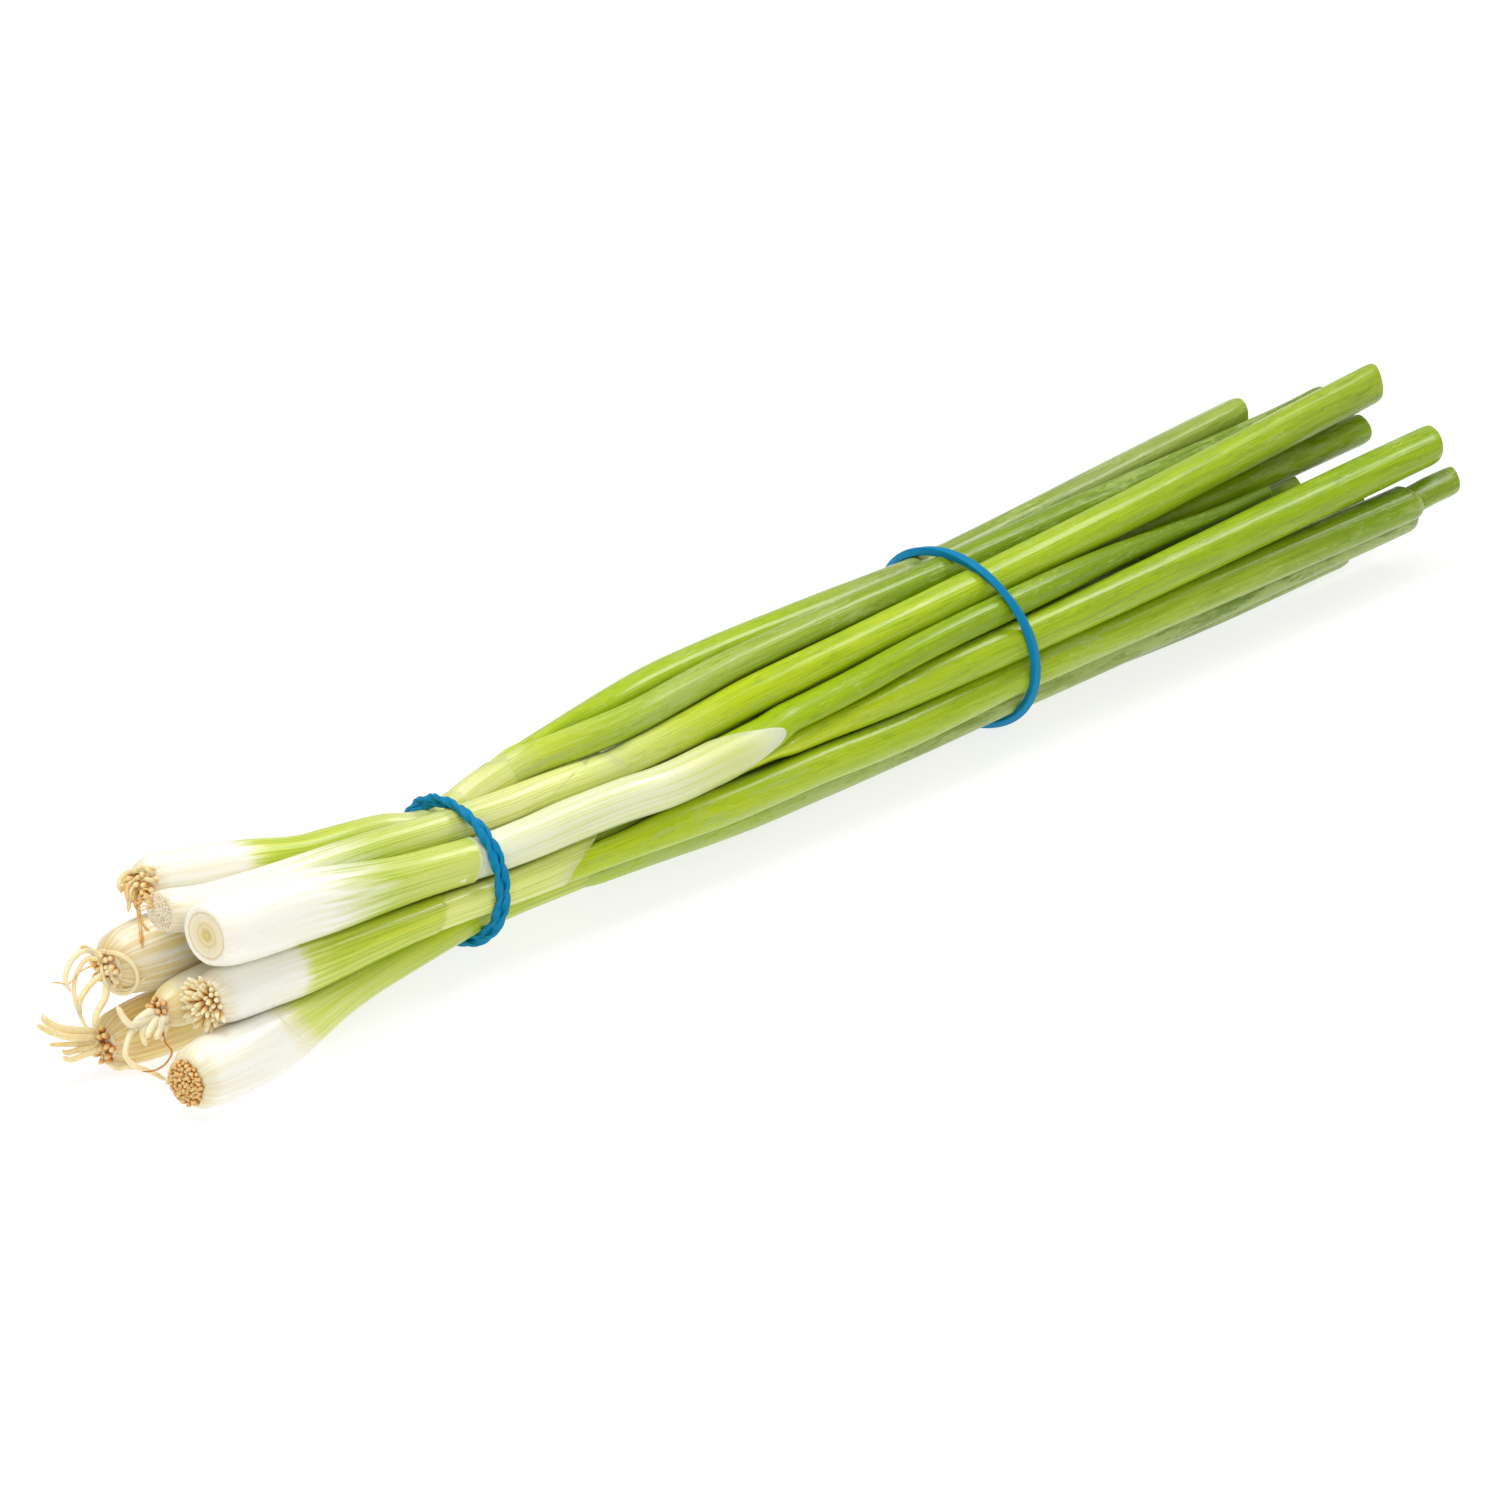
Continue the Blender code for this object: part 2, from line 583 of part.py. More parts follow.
def put_origin_under_middle(collection):
    # Moves every piece so that the origin is under the middle of the bunch's box.
    corners = np.array([vertex.co for made in collection.objects for vertex in made.data.vertices])
    middle = (corners.max(axis=0) + corners.min(axis=0)) / 2
    for made in collection.objects:
        made.location = (-middle[0], -middle[1], 0.0)


def apply_place(made):
    made.data.transform(made.matrix_basis)
    made.matrix_basis.identity()


def main():
    for old in list(bpy.data.objects):
        bpy.data.objects.remove(old)
    collection = bpy.data.collections.new(OBJECT_NAME)
    bpy.context.scene.collection.children.link(collection)
    white = plain_material("onion bulb", (0.86, 0.85, 0.70), 0.35)
    green = plain_material("onion leaf", (0.25, 0.45, 0.06), 0.4)
    tan = plain_material("onion root", (0.72, 0.58, 0.38), 0.7)
    blue = plain_material("blue rubber", (0.01, 0.22, 0.42), 0.5)

    families = [strands_of(name, onion) for name, onion in ONIONS.items()]
    strands = [strand for family in families for strand in family]
    settle(strands)
    for shank, *leaves in families:
        make_shank(shank, strands, white, collection)
        for leaf in leaves:
            make_leaf(leaf, strands, green, collection)
    for seed, name in enumerate(ROOTS):
        apply_place(make_roots(name, ONIONS[name], strands, tan, collection, seed))
    make_band("band_bulb_end", BULB_BAND, strands, doubled_profile(BULB_BAND["strand"]), blue, collection)
    make_band("band_leaf_end", LEAF_BAND, strands, round_profile(LEAF_BAND["strand"], 6), blue, collection)
    put_origin_under_middle(collection)


main()
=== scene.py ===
import math

import bmesh
import bpy
import numpy as np
from mathutils import Matrix, Vector
from mathutils.geometry import convex_hull_2d


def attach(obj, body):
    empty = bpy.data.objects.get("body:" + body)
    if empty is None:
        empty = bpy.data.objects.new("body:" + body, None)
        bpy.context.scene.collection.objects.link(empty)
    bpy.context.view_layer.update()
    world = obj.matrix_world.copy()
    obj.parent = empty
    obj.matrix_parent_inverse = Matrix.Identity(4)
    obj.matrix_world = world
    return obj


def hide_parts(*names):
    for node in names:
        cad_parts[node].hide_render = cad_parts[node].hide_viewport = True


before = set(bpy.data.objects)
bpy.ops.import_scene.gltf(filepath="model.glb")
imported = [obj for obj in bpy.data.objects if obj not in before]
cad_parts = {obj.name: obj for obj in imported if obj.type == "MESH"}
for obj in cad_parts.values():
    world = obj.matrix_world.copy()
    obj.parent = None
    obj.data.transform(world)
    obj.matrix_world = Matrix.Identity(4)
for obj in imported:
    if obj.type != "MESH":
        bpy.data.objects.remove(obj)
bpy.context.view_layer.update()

# A bunch of spring onions on a white table. Lengths are in millimetres until a mesh is made.
mm = 0.001

cameraView = {
    "azimuth": -46.93, "elevation": 23.96, "distance": 2600.0,
    "aim": (-12.8, -4.6, 18.0), "lens": 322.8, "sensor": 36.0, "imageWidth": 1500,
}

stemDetail = {
    "corners": 72,        # round each stem
    "ringStep": 1.5,      # along it
    "tableStep": 0.5,     # between the outlines that are worked out before the rings are drawn
    "tableGap": 0.02,     # how high the undersides of skins and bands stay above the table
    "solidSides": {"bulb_and_shank": 12, "leaf_a": 10, "leaf_b": 10},
    "leafWall": 0.7,
    "hollowDepth": 34.0,  # how far back from a cut end the inside of a leaf is drawn
    "sheathWall": 0.14,
    "foldSpare": 7.0,     # how much further a leaf is drawn inside the shank than its sheath leaves bare
    "foldInset": 0.26,    # and how deep it lies there
    "wrapReach": 20.0,    # how far past the collar the last sheath could reach round the leaves
    "wrapGap": 0.2,       # and how far it stands off them
}

corners = stemDetail["corners"]
turnOf = np.linspace(0, 2 * np.pi, corners, endpoint=False)
ways = np.stack([np.cos(turnOf), np.sin(turnOf)], axis=1)


# Small helpers

def linearColour(hexText):
    parts = [int(hexText[k:k + 2], 16) / 255 for k in (1, 3, 5)]
    return tuple(c / 12.92 if c <= 0.04045 else ((c + 0.055) / 1.055) ** 2.4 for c in parts) + (1.0,)


def addNode(tree, kind, inputs=(), **settings):
    # Adds a node with its settings, fills its inputs with values or other nodes' outputs, and returns its first
    # output. A kind with no prefix is a shader node's. The inputs are in order, or named. stops are a colour ramp's.
    node = tree.nodes.new(kind if "Node" in kind else "ShaderNode" + kind)
    for k, (spot, colour) in enumerate(settings.pop("stops", ())):
        ramp = node.color_ramp.elements
        element = ramp[k] if k < 2 else ramp.new(spot)
        element.position, element.color = spot, linearColour(colour)
    for name, value in settings.items():
        setattr(node, name, value)
    sockets = {}
    for socket in reversed(node.inputs):
        if socket.enabled:
            sockets[socket.name] = socket
    if not isinstance(inputs, dict):
        sockets, inputs = node.inputs, dict(enumerate(inputs))
    for key, value in inputs.items():
        if isinstance(value, bpy.types.NodeSocket):
            tree.links.new(value, sockets[key])
        else:
            sockets[key].default_value = value
    return next(socket for socket in node.outputs if socket.enabled)


def throughKnots(knots, values, wanted):
    # A smooth curve through the knots, with slopes taken from the neighbours
    slopes = np.gradient(values, knots, axis=0)
    index = np.clip(np.searchsorted(knots, wanted) - 1, 0, len(knots) - 2)
    span = (knots[index + 1] - knots[index])[:, None]
    t = (np.clip(wanted, knots[0], knots[-1]) - knots[index])[:, None] / span
    start, end = values[index], values[index + 1]
    bend = (2 * t**3 - 3 * t**2 + 1) * start + (3 * t**2 - 2 * t**3) * end
    return bend + span * ((t**3 - 2 * t**2 + t) * slopes[index] + (t**3 - t**2) * slopes[index + 1])


def distancesAlong(route):
    return np.concatenate([[0.0], np.cumsum(np.linalg.norm(np.diff(route, axis=0), axis=1))])


def smoothStep(share):
    share = np.clip(share, 0.0, 1.0)
    return share * share * (3 - 2 * share)


def gentleWave(seed, angles, count=5):
    # An uneven wave round a stem, between about -1 and 1
    chance = np.random.default_rng(seed)
    wave = np.zeros_like(angles)
    for k in range(1, count + 1):
        wave = wave + chance.uniform(0.4, 1.0) * np.cos(k * angles + chance.uniform(0, 6.28)) / k**0.6
    return wave / 2.2


def addObject(name, data):
    made = bpy.data.objects.new(name, data)
    bpy.context.scene.collection.objects.link(made)
    return made


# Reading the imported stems

def hullOf(points):
    return points[convex_hull_2d([Vector(point) for point in points])]


def reachOf(points, middle):
    # How far a convex outline reaches from its middle in each direction
    hull = hullOf(points)
    turned = np.arctan2(hull[:, 1] - middle[1], hull[:, 0] - middle[0])
    hull = hull[np.argsort(turned)]
    run = np.roll(hull, -1, axis=0) - hull
    run = run[np.linalg.norm(run, axis=1) > 1e-4]
    base = hull[np.linalg.norm(np.roll(hull, -1, axis=0) - hull, axis=1) > 1e-4]
    normal = np.stack([run[:, 1], -run[:, 0]], axis=1)
    offset = np.einsum("ij,ij->i", normal, base - middle)
    facing = ways @ normal.T
    return np.where(facing > 1e-9, offset / np.maximum(facing, 1e-9), 1e9).min(axis=1)


def longWaves(reach, most, fadeOver):
    # An outline with fewer than this many waves in a turn, the last few of them faded
    waves = np.fft.rfft(reach)
    fade = np.clip((most - np.arange(len(waves))) / fadeOver, 0, 1)
    return np.fft.irfft(waves * fade, len(reach))


def roundOff(reach, sides):
    # The faceted outline as a soft one of the same size
    return longWaves(reach, 9, 4) * (math.pi / sides) / math.sin(math.pi / sides)


def softened(reach, width):
    # An outline smoothed a little, never inside the one it came from
    spread = np.exp(-(np.fft.fftfreq(len(reach)) * 2 * np.pi * width) ** 2 / 2)
    smooth = np.fft.ifft(np.fft.fft(reach) * spread).real
    return np.maximum(smooth, 0.5 * (smooth + reach))


def readStem(node, sides):
    # A packed stem's outlines at its own planes, and how its far end is slanted
    places = np.array([vertex.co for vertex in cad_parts[node].data.vertices]) / mm
    xs, rows = [], []
    for plane in np.unique(places[:, 0].round(2)):
        outline = np.unique(places[np.abs(places[:, 0] - plane) < 0.02][:, 1:].round(3), axis=0)
        if len(outline) >= sides:
            middle = hullOf(outline).mean(axis=0)
            xs.append(plane)
            rows.append(np.concatenate([middle, roundOff(reachOf(outline, middle), sides)]))
    slope = 0.0
    tip = places[places[:, 0] > xs[-1] + 0.3]
    if len(tip):
        middle = hullOf(tip[:, 1:]).mean(axis=0)
        away = tip[:, 1] - middle[0]
        slope = float((away * (tip[:, 0] - tip[:, 0].mean())).sum() / (away**2).sum())
        xs.append(float((tip[:, 0] - slope * away).mean()))
        rows.append(np.concatenate([middle, roundOff(reachOf(tip[:, 1:], middle), sides)]))
    return {"x": np.array(xs), "rows": np.array(rows), "slope": slope}


def tableRows(table, x):
    # Middle and reach at each wanted x, one per corner
    rows = table["rows"]
    place = np.clip((x - table["start"]) / stemDetail["tableStep"], 0, len(rows) - 1.001)
    low = place.astype(int)
    share = place - low
    corner = np.arange(corners)
    middle = rows[low, :2] * (1 - share)[..., None] + rows[low + 1, :2] * share[..., None]
    reach = rows[low, 2 + corner] * (1 - share) + rows[low + 1, 2 + corner] * share
    return middle, reach


def skinPoints(table, x, inset=0.0, scale=1.0):
    # Points on a stem's skin, one per corner, at the given x of each corner
    x = np.broadcast_to(x, (corners,)).astype(float)
    middle, reach = tableRows(table, x)
    spot = middle + ways * ((reach - inset) * scale)[:, None]
    return np.column_stack([x, spot[:, 0], np.maximum(spot[:, 1], stemDetail["tableGap"] + inset)])


def addRing(rings, ring, distance, cut, pale=0.0):
    # One more ring of points, with what its materials read
    stem = np.column_stack([ways, np.broadcast_to(distance, (corners,))])
    rings.append((ring, stem, cut, np.broadcast_to(pale, (corners,))))


def skinObject(name, rings):
    # Joins rings of points into a closed skin, with the ends closed to a middle point
    rows, stem, cut, pale = (np.array(column) for column in zip(*rings))
    count = len(rows)
    points = np.vstack([rows.reshape(-1, 3), rows[0].mean(axis=0), rows[-1].mean(axis=0)])
    faces = []
    for i in range(count - 1):
        for k in range(corners):
            n = (k + 1) % corners
            faces.append((i * corners + k, i * corners + n, (i + 1) * corners + n, (i + 1) * corners + k))
    last = (count - 1) * corners
    for k in range(corners):
        n = (k + 1) % corners
        faces.append((count * corners, n, k))
        faces.append((count * corners + 1, last + k, last + n))
    mesh = bpy.data.meshes.new(name)
    mesh.from_pydata([tuple(point) for point in points * mm], [], faces)
    stemValues = np.vstack([stem.reshape(-1, 3), stem[0].mean(axis=0), stem[-1].mean(axis=0)])
    mesh.attributes.new("stem", "FLOAT_VECTOR", "POINT").data.foreach_set("vector", stemValues.ravel())
    for label, values in (("cut", np.repeat(cut, corners)), ("pale", pale.ravel())):
        values = np.concatenate([values, values[:1], values[-1:]])
        mesh.attributes.new(label, "FLOAT", "POINT").data.foreach_set("value", values)
    mesh.shade_smooth()
    return addObject(name, mesh)


def place(piece, node, slotName, material):
    # Gives a finished piece its finish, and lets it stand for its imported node
    piece.data.materials.clear()
    piece.data.materials.append(material)
    for face in piece.data.polygons:
        face.material_index = 0
    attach(piece, "root")
    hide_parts(node)


# The tones that a spring onion goes through, from the bulb to the leaf ends. gold stands partly for painted light:
# the warm glow of the bulbs that lie in shade
tones = {
    "milk": "#faf8ee", "paleMist": "#edf0d8", "mist": "#e4e9c6", "cream": "#f3ecd6", "ivory": "#e9e3bd",
    "primrose": "#ebe8aa", "straw": "#e2d1a0", "tan": "#d8b474", "gold": "#efd98a", "youngLime": "#e1e788",
    "palePear": "#d8dd92", "pear": "#cbd66b", "celery": "#c1ca63", "lime": "#c3d04c", "brightLime": "#cad83c",
    "freshLime": "#bacc16", "softLime": "#b3c552", "yellowGreen": "#b3c724", "apple": "#abc124",
    "softGreen": "#a8ba44", "grass": "#a2bc0e", "meadow": "#a0b42c", "leafGreen": "#97b30e", "sage": "#98a656",
    "fern": "#8ea629", "deepGrass": "#829f0e", "greySage": "#8a994c", "deepLeaf": "#748f15", "moss": "#71842c",
    "darkMoss": "#5a7404",
}

# Root ends from the middle outwards: a plate that stubs grow from, a trimmed one with hairs, and a clean cut
plateDisc = [(0.0, "#f3ead0"), (0.2, "#ecdcb4"), (0.45, "#dcbf8c"), (0.75, "#c79a5e"), (1.0, "#a87440")]
fuzzyDisc = [(0.0, "#f8f2e0"), (0.14, "#f4ead0"), (0.24, "#ddc08a"), (0.34, "#efdcb0"), (0.7, "#efdcae"),
             (0.86, "#dfc083"), (1.0, "#e9d29c")]
cleanDisc = [(0.0, "#f6f2e2"), (0.12, "#faf7ea"), (0.19, "#e3d0a0"), (0.26, "#f4ebd0"), (0.5, "#f0e4bc"),
             (0.6, "#e6d39c"), (0.68, "#efe2b4"), (0.8, "#e4d08e"), (0.87, "#d3b866"), (0.93, "#e8d884"),
             (1.0, "#cdb248")]

# How each onion looks. Distances are in mm from its root end, and directions in degrees round it.
# skin, leaf_a, leaf_b: (distance, tone between the veins, tone of the veins)
# streaks: the length over which the green begins. marks: how strong the brown flecks are
# sheath: where the outer one ends with a small step, how uneven and slanted its edge is, and the edge's colour
# tongue: the last sheath ends base past the collar, and length further where its tongue points
# wax: how much bloom each leaf has
commonLook = {
    "pale": (0.0, 1.0, 0.0, 0.0),  # a milky patch of sheath: its distance, half its length, direction, strength
    "disc": plateDisc,
    "endRim": 0.84,                # how wide the root end is against the bulb beside it
    "taper": (10.0, 1.0),          # the first leaf narrows over this length to this share of its width
    "sleeve": (9e9, 1.0),          # from this distance on, the leaf inside the first one shows, this much narrower
}

onionLooks = {
    "onion_1": {
        "streaks": 9.0, "marks": 0.25, "wax": (0.4, 0.5),
        "skin": [(0, "cream", "straw"), (3, "milk", "cream"), (21, "milk", "cream"),
                 (24, "primrose", "freshLime"), (27, "brightLime", "grass"), (48, "lime", "grass"),
                 (62, "palePear", "celery"), (74, "palePear", "celery"), (75, "primrose", "pear"),
                 (90, "youngLime", "pear"), (106, "lime", "yellowGreen")],
        "sheath": {"ends": 74.6, "step": 0.2, "ragged": 0.35, "lean": 1.2, "towards": 90, "rim": "#dfe2a8"},
        "tongue": {"towards": 165, "length": 9.0, "base": -11.0, "sharp": 2, "ragged": 0.3},
        "leaf_a": [(84, "palePear", "pear"), (93, "lime", "yellowGreen"), (104, "apple", "grass"),
                   (165, "grass", "leafGreen"), (205, "sage", "greySage"), (239, "fern", "deepLeaf"),
                   (263, "sage", "greySage"), (320, "softGreen", "fern")],
        "leaf_b": [(84, "palePear", "pear"), (94, "lime", "yellowGreen"), (112, "softLime", "leafGreen"),
                   (143, "softGreen", "fern"), (205, "deepGrass", "deepLeaf"), (340, "deepLeaf", "darkMoss")],
    },
    "onion_2": {
        "streaks": 26.0, "marks": 0.2, "wax": (0.12, 0.45), "disc": fuzzyDisc, "endRim": 0.93,
        "skin": [(0, "cream", "straw"), (3, "milk", "cream"), (30, "milk", "cream"), (42, "mist", "pear"),
                 (52, "pear", "grass"), (70, "palePear", "yellowGreen"), (86, "primrose", "pear"),
                 (105, "youngLime", "pear"), (122, "palePear", "pear"), (134, "pear", "lime")],
        "sheath": {"ends": 98.0, "step": 0.1, "ragged": 0.2, "lean": 12.0, "towards": 60, "rim": "#eaecc0"},
        "tongue": {"towards": 225, "length": 14.0, "base": -9.0, "sharp": 3, "ragged": 0.25},
        "leaf_a": [(115, "palePear", "pear"), (132, "lime", "yellowGreen"), (146, "freshLime", "grass"),
                   (180, "yellowGreen", "leafGreen"), (240, "apple", "leafGreen"), (300, "grass", "fern"),
                   (350, "meadow", "fern")],
        "leaf_b": [(115, "youngLime", "lime"), (140, "lime", "meadow"), (170, "grass", "fern"),
                   (240, "leafGreen", "deepGrass")],
    },
    "onion_3": {
        "streaks": 30.0, "marks": 0.15, "wax": (0.15, 0.2), "disc": cleanDisc, "endRim": 0.95,
        "pale": (151.0, 13.0, 140, 0.9), "taper": (75.0, 0.42),
        "skin": [(0, "milk", "cream"), (3, "milk", "milk"), (28, "milk", "paleMist"), (37, "mist", "pear"),
                 (47, "pear", "grass"), (60, "pear", "yellowGreen"), (71.4, "pear", "lime"),
                 (71.8, "paleMist", "mist"), (95, "mist", "palePear"), (116, "mist", "palePear"),
                 (137, "palePear", "pear"), (149, "pear", "freshLime"), (172, "apple", "leafGreen")],
        "sheath": {"ends": 71.6, "step": 0.4, "ragged": 0.3, "lean": 1.6, "towards": 60, "rim": "#eef0d0"},
        "tongue": {"towards": 152, "length": 17.0, "base": -23.0, "sharp": 4, "ragged": 0.9},
        # The darkest tones at this leaf's far end are partly painted shade, where it lies between the other leaves
        "leaf_a": [(120, "yellowGreen", "grass"), (148, "grass", "leafGreen"), (190, "leafGreen", "deepGrass"),
                   (240, "deepGrass", "deepLeaf"), (305, "deepLeaf", "darkMoss")],
        "leaf_b": [(148, "brightLime", "freshLime"), (170, "freshLime", "grass"), (190, "apple", "leafGreen"),
                   (240, "grass", "fern"), (300, "leafGreen", "deepGrass")],
    },
    "onion_4": {
        "streaks": 8.0, "marks": 0.3, "wax": (0.45, 0.3), "pale": (97.0, 12.0, 230, 0.5), "sleeve": (336.0, 0.76),
        "skin": [(0, "cream", "straw"), (4, "milk", "milk"), (20, "milk", "cream"),
                 (23, "youngLime", "freshLime"), (30, "brightLime", "grass"), (52, "brightLime", "grass"),
                 (59.4, "brightLime", "meadow"), (59.8, "youngLime", "lime"), (104, "youngLime", "lime"),
                 (112, "brightLime", "yellowGreen")],
        "sheath": {"ends": 59.6, "step": 0.25, "ragged": 1.6, "lean": 2.0, "towards": 80, "rim": "#c2c46a"},
        "tongue": {"towards": 85, "length": 11.5, "base": -8.5, "sharp": 3, "ragged": 0.3},
        "leaf_a": [(92, "freshLime", "grass"), (140, "yellowGreen", "grass"), (190, "apple", "leafGreen"),
                   (230, "apple", "leafGreen"), (280, "meadow", "deepGrass"), (325, "deepGrass", "deepLeaf"),
                   (355, "fern", "deepLeaf")],
        "leaf_b": [(92, "softLime", "leafGreen"), (200, "fern", "deepLeaf"), (340, "deepGrass", "deepLeaf")],
    },
    "onion_5": {
        "streaks": 10.0, "marks": 0.35, "wax": (0.8, 0.7), "endRim": 0.8,
        "skin": [(0, "ivory", "straw"), (4, "milk", "cream"), (26, "milk", "milk"), (34, "cream", "primrose"),
                 (35, "youngLime", "brightLime"), (50, "pear", "freshLime"), (70, "freshLime", "meadow"),
                 (95, "freshLime", "meadow"), (120, "lime", "meadow")],
        "sheath": {"ends": 32.0, "step": 0.06, "ragged": 0.3, "lean": 8.0, "towards": 300, "rim": "#eef0c0"},
        "tongue": {"towards": 140, "length": 5.0, "base": -8.0, "sharp": 2, "ragged": 0.3},
        "leaf_a": [(108, "yellowGreen", "grass"), (150, "softLime", "leafGreen"), (205, "sage", "deepLeaf"),
                   (250, "sage", "deepLeaf"), (300, "deepLeaf", "darkMoss"), (352, "greySage", "moss")],
        "leaf_b": [(108, "softGreen", "fern"), (200, "greySage", "moss")],
    },
    # Onions 6, 7 and 8 lie in shade behind the others. The gold and straw tones of their bulbs are partly their own
    # cream-yellow and partly painted light: the warm glow of light passed through and bounced between the bulbs
    "onion_6": {
        "streaks": 20.0, "marks": 0.5, "wax": (0.5, 0.4),
        "skin": [(0, "straw", "tan"), (4, "cream", "straw"), (12, "milk", "gold"), (34, "gold", "straw"),
                 (50, "palePear", "pear"), (80, "pear", "softGreen"), (128, "lime", "meadow")],
        "sheath": {"ends": 62.0, "step": 0.25, "ragged": 0.5, "lean": 3.0, "towards": 20, "rim": "#e6e2b8"},
        "tongue": {"towards": 30, "length": 9.0, "base": -9.0, "sharp": 2, "ragged": 0.4},
        "leaf_a": [(118, "softLime", "meadow"), (220, "fern", "deepLeaf"), (334, "sage", "greySage")],
        "leaf_b": [(118, "softLime", "leafGreen"), (220, "fern", "deepLeaf")],
    },
    "onion_7": {
        "streaks": 20.0, "marks": 0.6, "wax": (0.5, 0.5),
        "skin": [(0, "straw", "tan"), (5, "gold", "tan"), (30, "gold", "straw"), (46, "palePear", "celery"),
                 (80, "celery", "meadow"), (123, "softLime", "meadow")],
        "sheath": {"ends": 52.0, "step": 0.25, "ragged": 0.5, "lean": 3.0, "towards": 250, "rim": "#e0dca8"},
        "tongue": {"towards": 290, "length": 9.0, "base": -9.0, "sharp": 2, "ragged": 0.4},
        "leaf_a": [(110, "softLime", "leafGreen"), (220, "fern", "deepLeaf"), (332, "sage", "deepLeaf")],
        "leaf_b": [(110, "softGreen", "fern"), (220, "fern", "deepLeaf"), (350, "greySage", "moss")],
    },
    "onion_8": {
        "streaks": 20.0, "marks": 0.8, "wax": (0.2, 0.2), "endRim": 0.8,
        "skin": [(0, "straw", "tan"), (3, "ivory", "gold"), (8, "milk", "cream"), (28, "gold", "primrose"),
                 (44, "palePear", "pear"), (80, "pear", "softGreen"), (134, "lime", "meadow")],
        "sheath": {"ends": 58.0, "step": 0.2, "ragged": 0.4, "lean": 2.0, "towards": 320, "rim": "#e0dca8"},
        "tongue": {"towards": 320, "length": 9.0, "base": -9.0, "sharp": 2, "ragged": 0.4},
        "leaf_a": [(125, "yellowGreen", "leafGreen"), (230, "leafGreen", "deepGrass"), (340, "meadow", "deepGrass")],
        "leaf_b": [(125, "softGreen", "fern"), (230, "fern", "deepLeaf")],
    },
}
onionLooks = {onionName: {**commonLook, **look} for onionName, look in onionLooks.items()}


# Finishes. A skin's stem attribute holds the direction round the stem and the distance along it in mm. Its cut
# attribute is below 1 on the edge of a sheath, 1 to 2 from a root end's rim to its middle, 1 on the wall of a cut
# leaf and 2 inside it.

rampLength = 400.0    # mm along a stem that a colour ramp covers

# Patterns are noise as (how it is stretched round the stem and along it, scale, detail, roughness)
skinFinish = {
    "streak": ((4.5, 4.5, 0.035), 1.1, 3.0, 0.5),   # fibres about 0.5 mm wide and 15 mm long
    "hair": ((4.5, 4.5, 0.035), 3.2, 2.0, 0.5),
    "spread": ((4.5, 4.5, 0.006), 0.7, 1.0, 0.5),   # wider strips that shift the veins' spacing
    "cloud": ((4.5, 4.5, 0.3), 0.35, 3.0, 0.5),
    "fleck": ((4.5, 4.5, 0.3), 1.3, 2.0, 0.5),
    "veins": 26.0, "warmTone": "#e4dba6", "fleckTone": "#c8a878", "milkyTone": "#e9ecc9",
}

leafFinish = {
    "streak": ((4.0, 4.0, 0.05), 1.5, 3.0, 0.5),
    "dashes": ((4.0, 4.0, 0.2), 2.2, 3.0, 0.6),
    "cloud": ((4.0, 4.0, 0.16), 0.3, 2.0, 0.5),
    "mottle": ((4.0, 4.0, 0.2), 0.9, 4.0, 0.65),
    # The glint tone is a painted highlight on the leaves.
    "veins": 34.0, "deepTone": "#b4c860", "waxTone": "#a5b868", "paintedGlintTone": "#cfdc86", "wallTone": "#c6d38a",
    "insideTone": "#a3bb4c",
}


def newFinish(name):
    material = bpy.data.materials.new(name)
    material.use_nodes = True
    return material, material.node_tree


def finishShader(tree, values):
    shader = tree.nodes["Principled BSDF"]
    for name, value in values.items():
        if isinstance(value, bpy.types.NodeSocket):
            tree.links.new(value, shader.inputs[name])
        else:
            shader.inputs[name].default_value = value


def placeOnStem(tree):
    # The stem attribute, the distance along the stem, the angle round it, and the cut attribute
    stem = addNode(tree, "Attribute", attribute_name="stem").node.outputs["Vector"]
    parts = addNode(tree, "SeparateXYZ", (stem,)).node.outputs
    angle = addNode(tree, "Math", (parts["Y"], parts["X"]), operation="ARCTAN2")
    return stem, parts["Z"], angle, addNode(tree, "Attribute", attribute_name="cut").node.outputs["Fac"]


def drawnOut(tree, place, finish, *names):
    # The finish's noise patterns, each drawn out along the stem
    for stretch, scale, detail, roughness in (finish[name] for name in names):
        spot = addNode(tree, "VectorMath", (place, stretch), operation="MULTIPLY")
        yield addNode(tree, "TexNoise", {"Vector": spot, "Scale": scale, "Detail": detail, "Roughness": roughness})


def tonesAlong(tree, along, stops):
    # The tones between the veins and of the veins
    for column in (1, 2):
        ramp = [(stop[0] / rampLength, tones[stop[column]]) for stop in stops]
        yield addNode(tree, "ValToRGB", {"Fac": along}, stops=ramp)


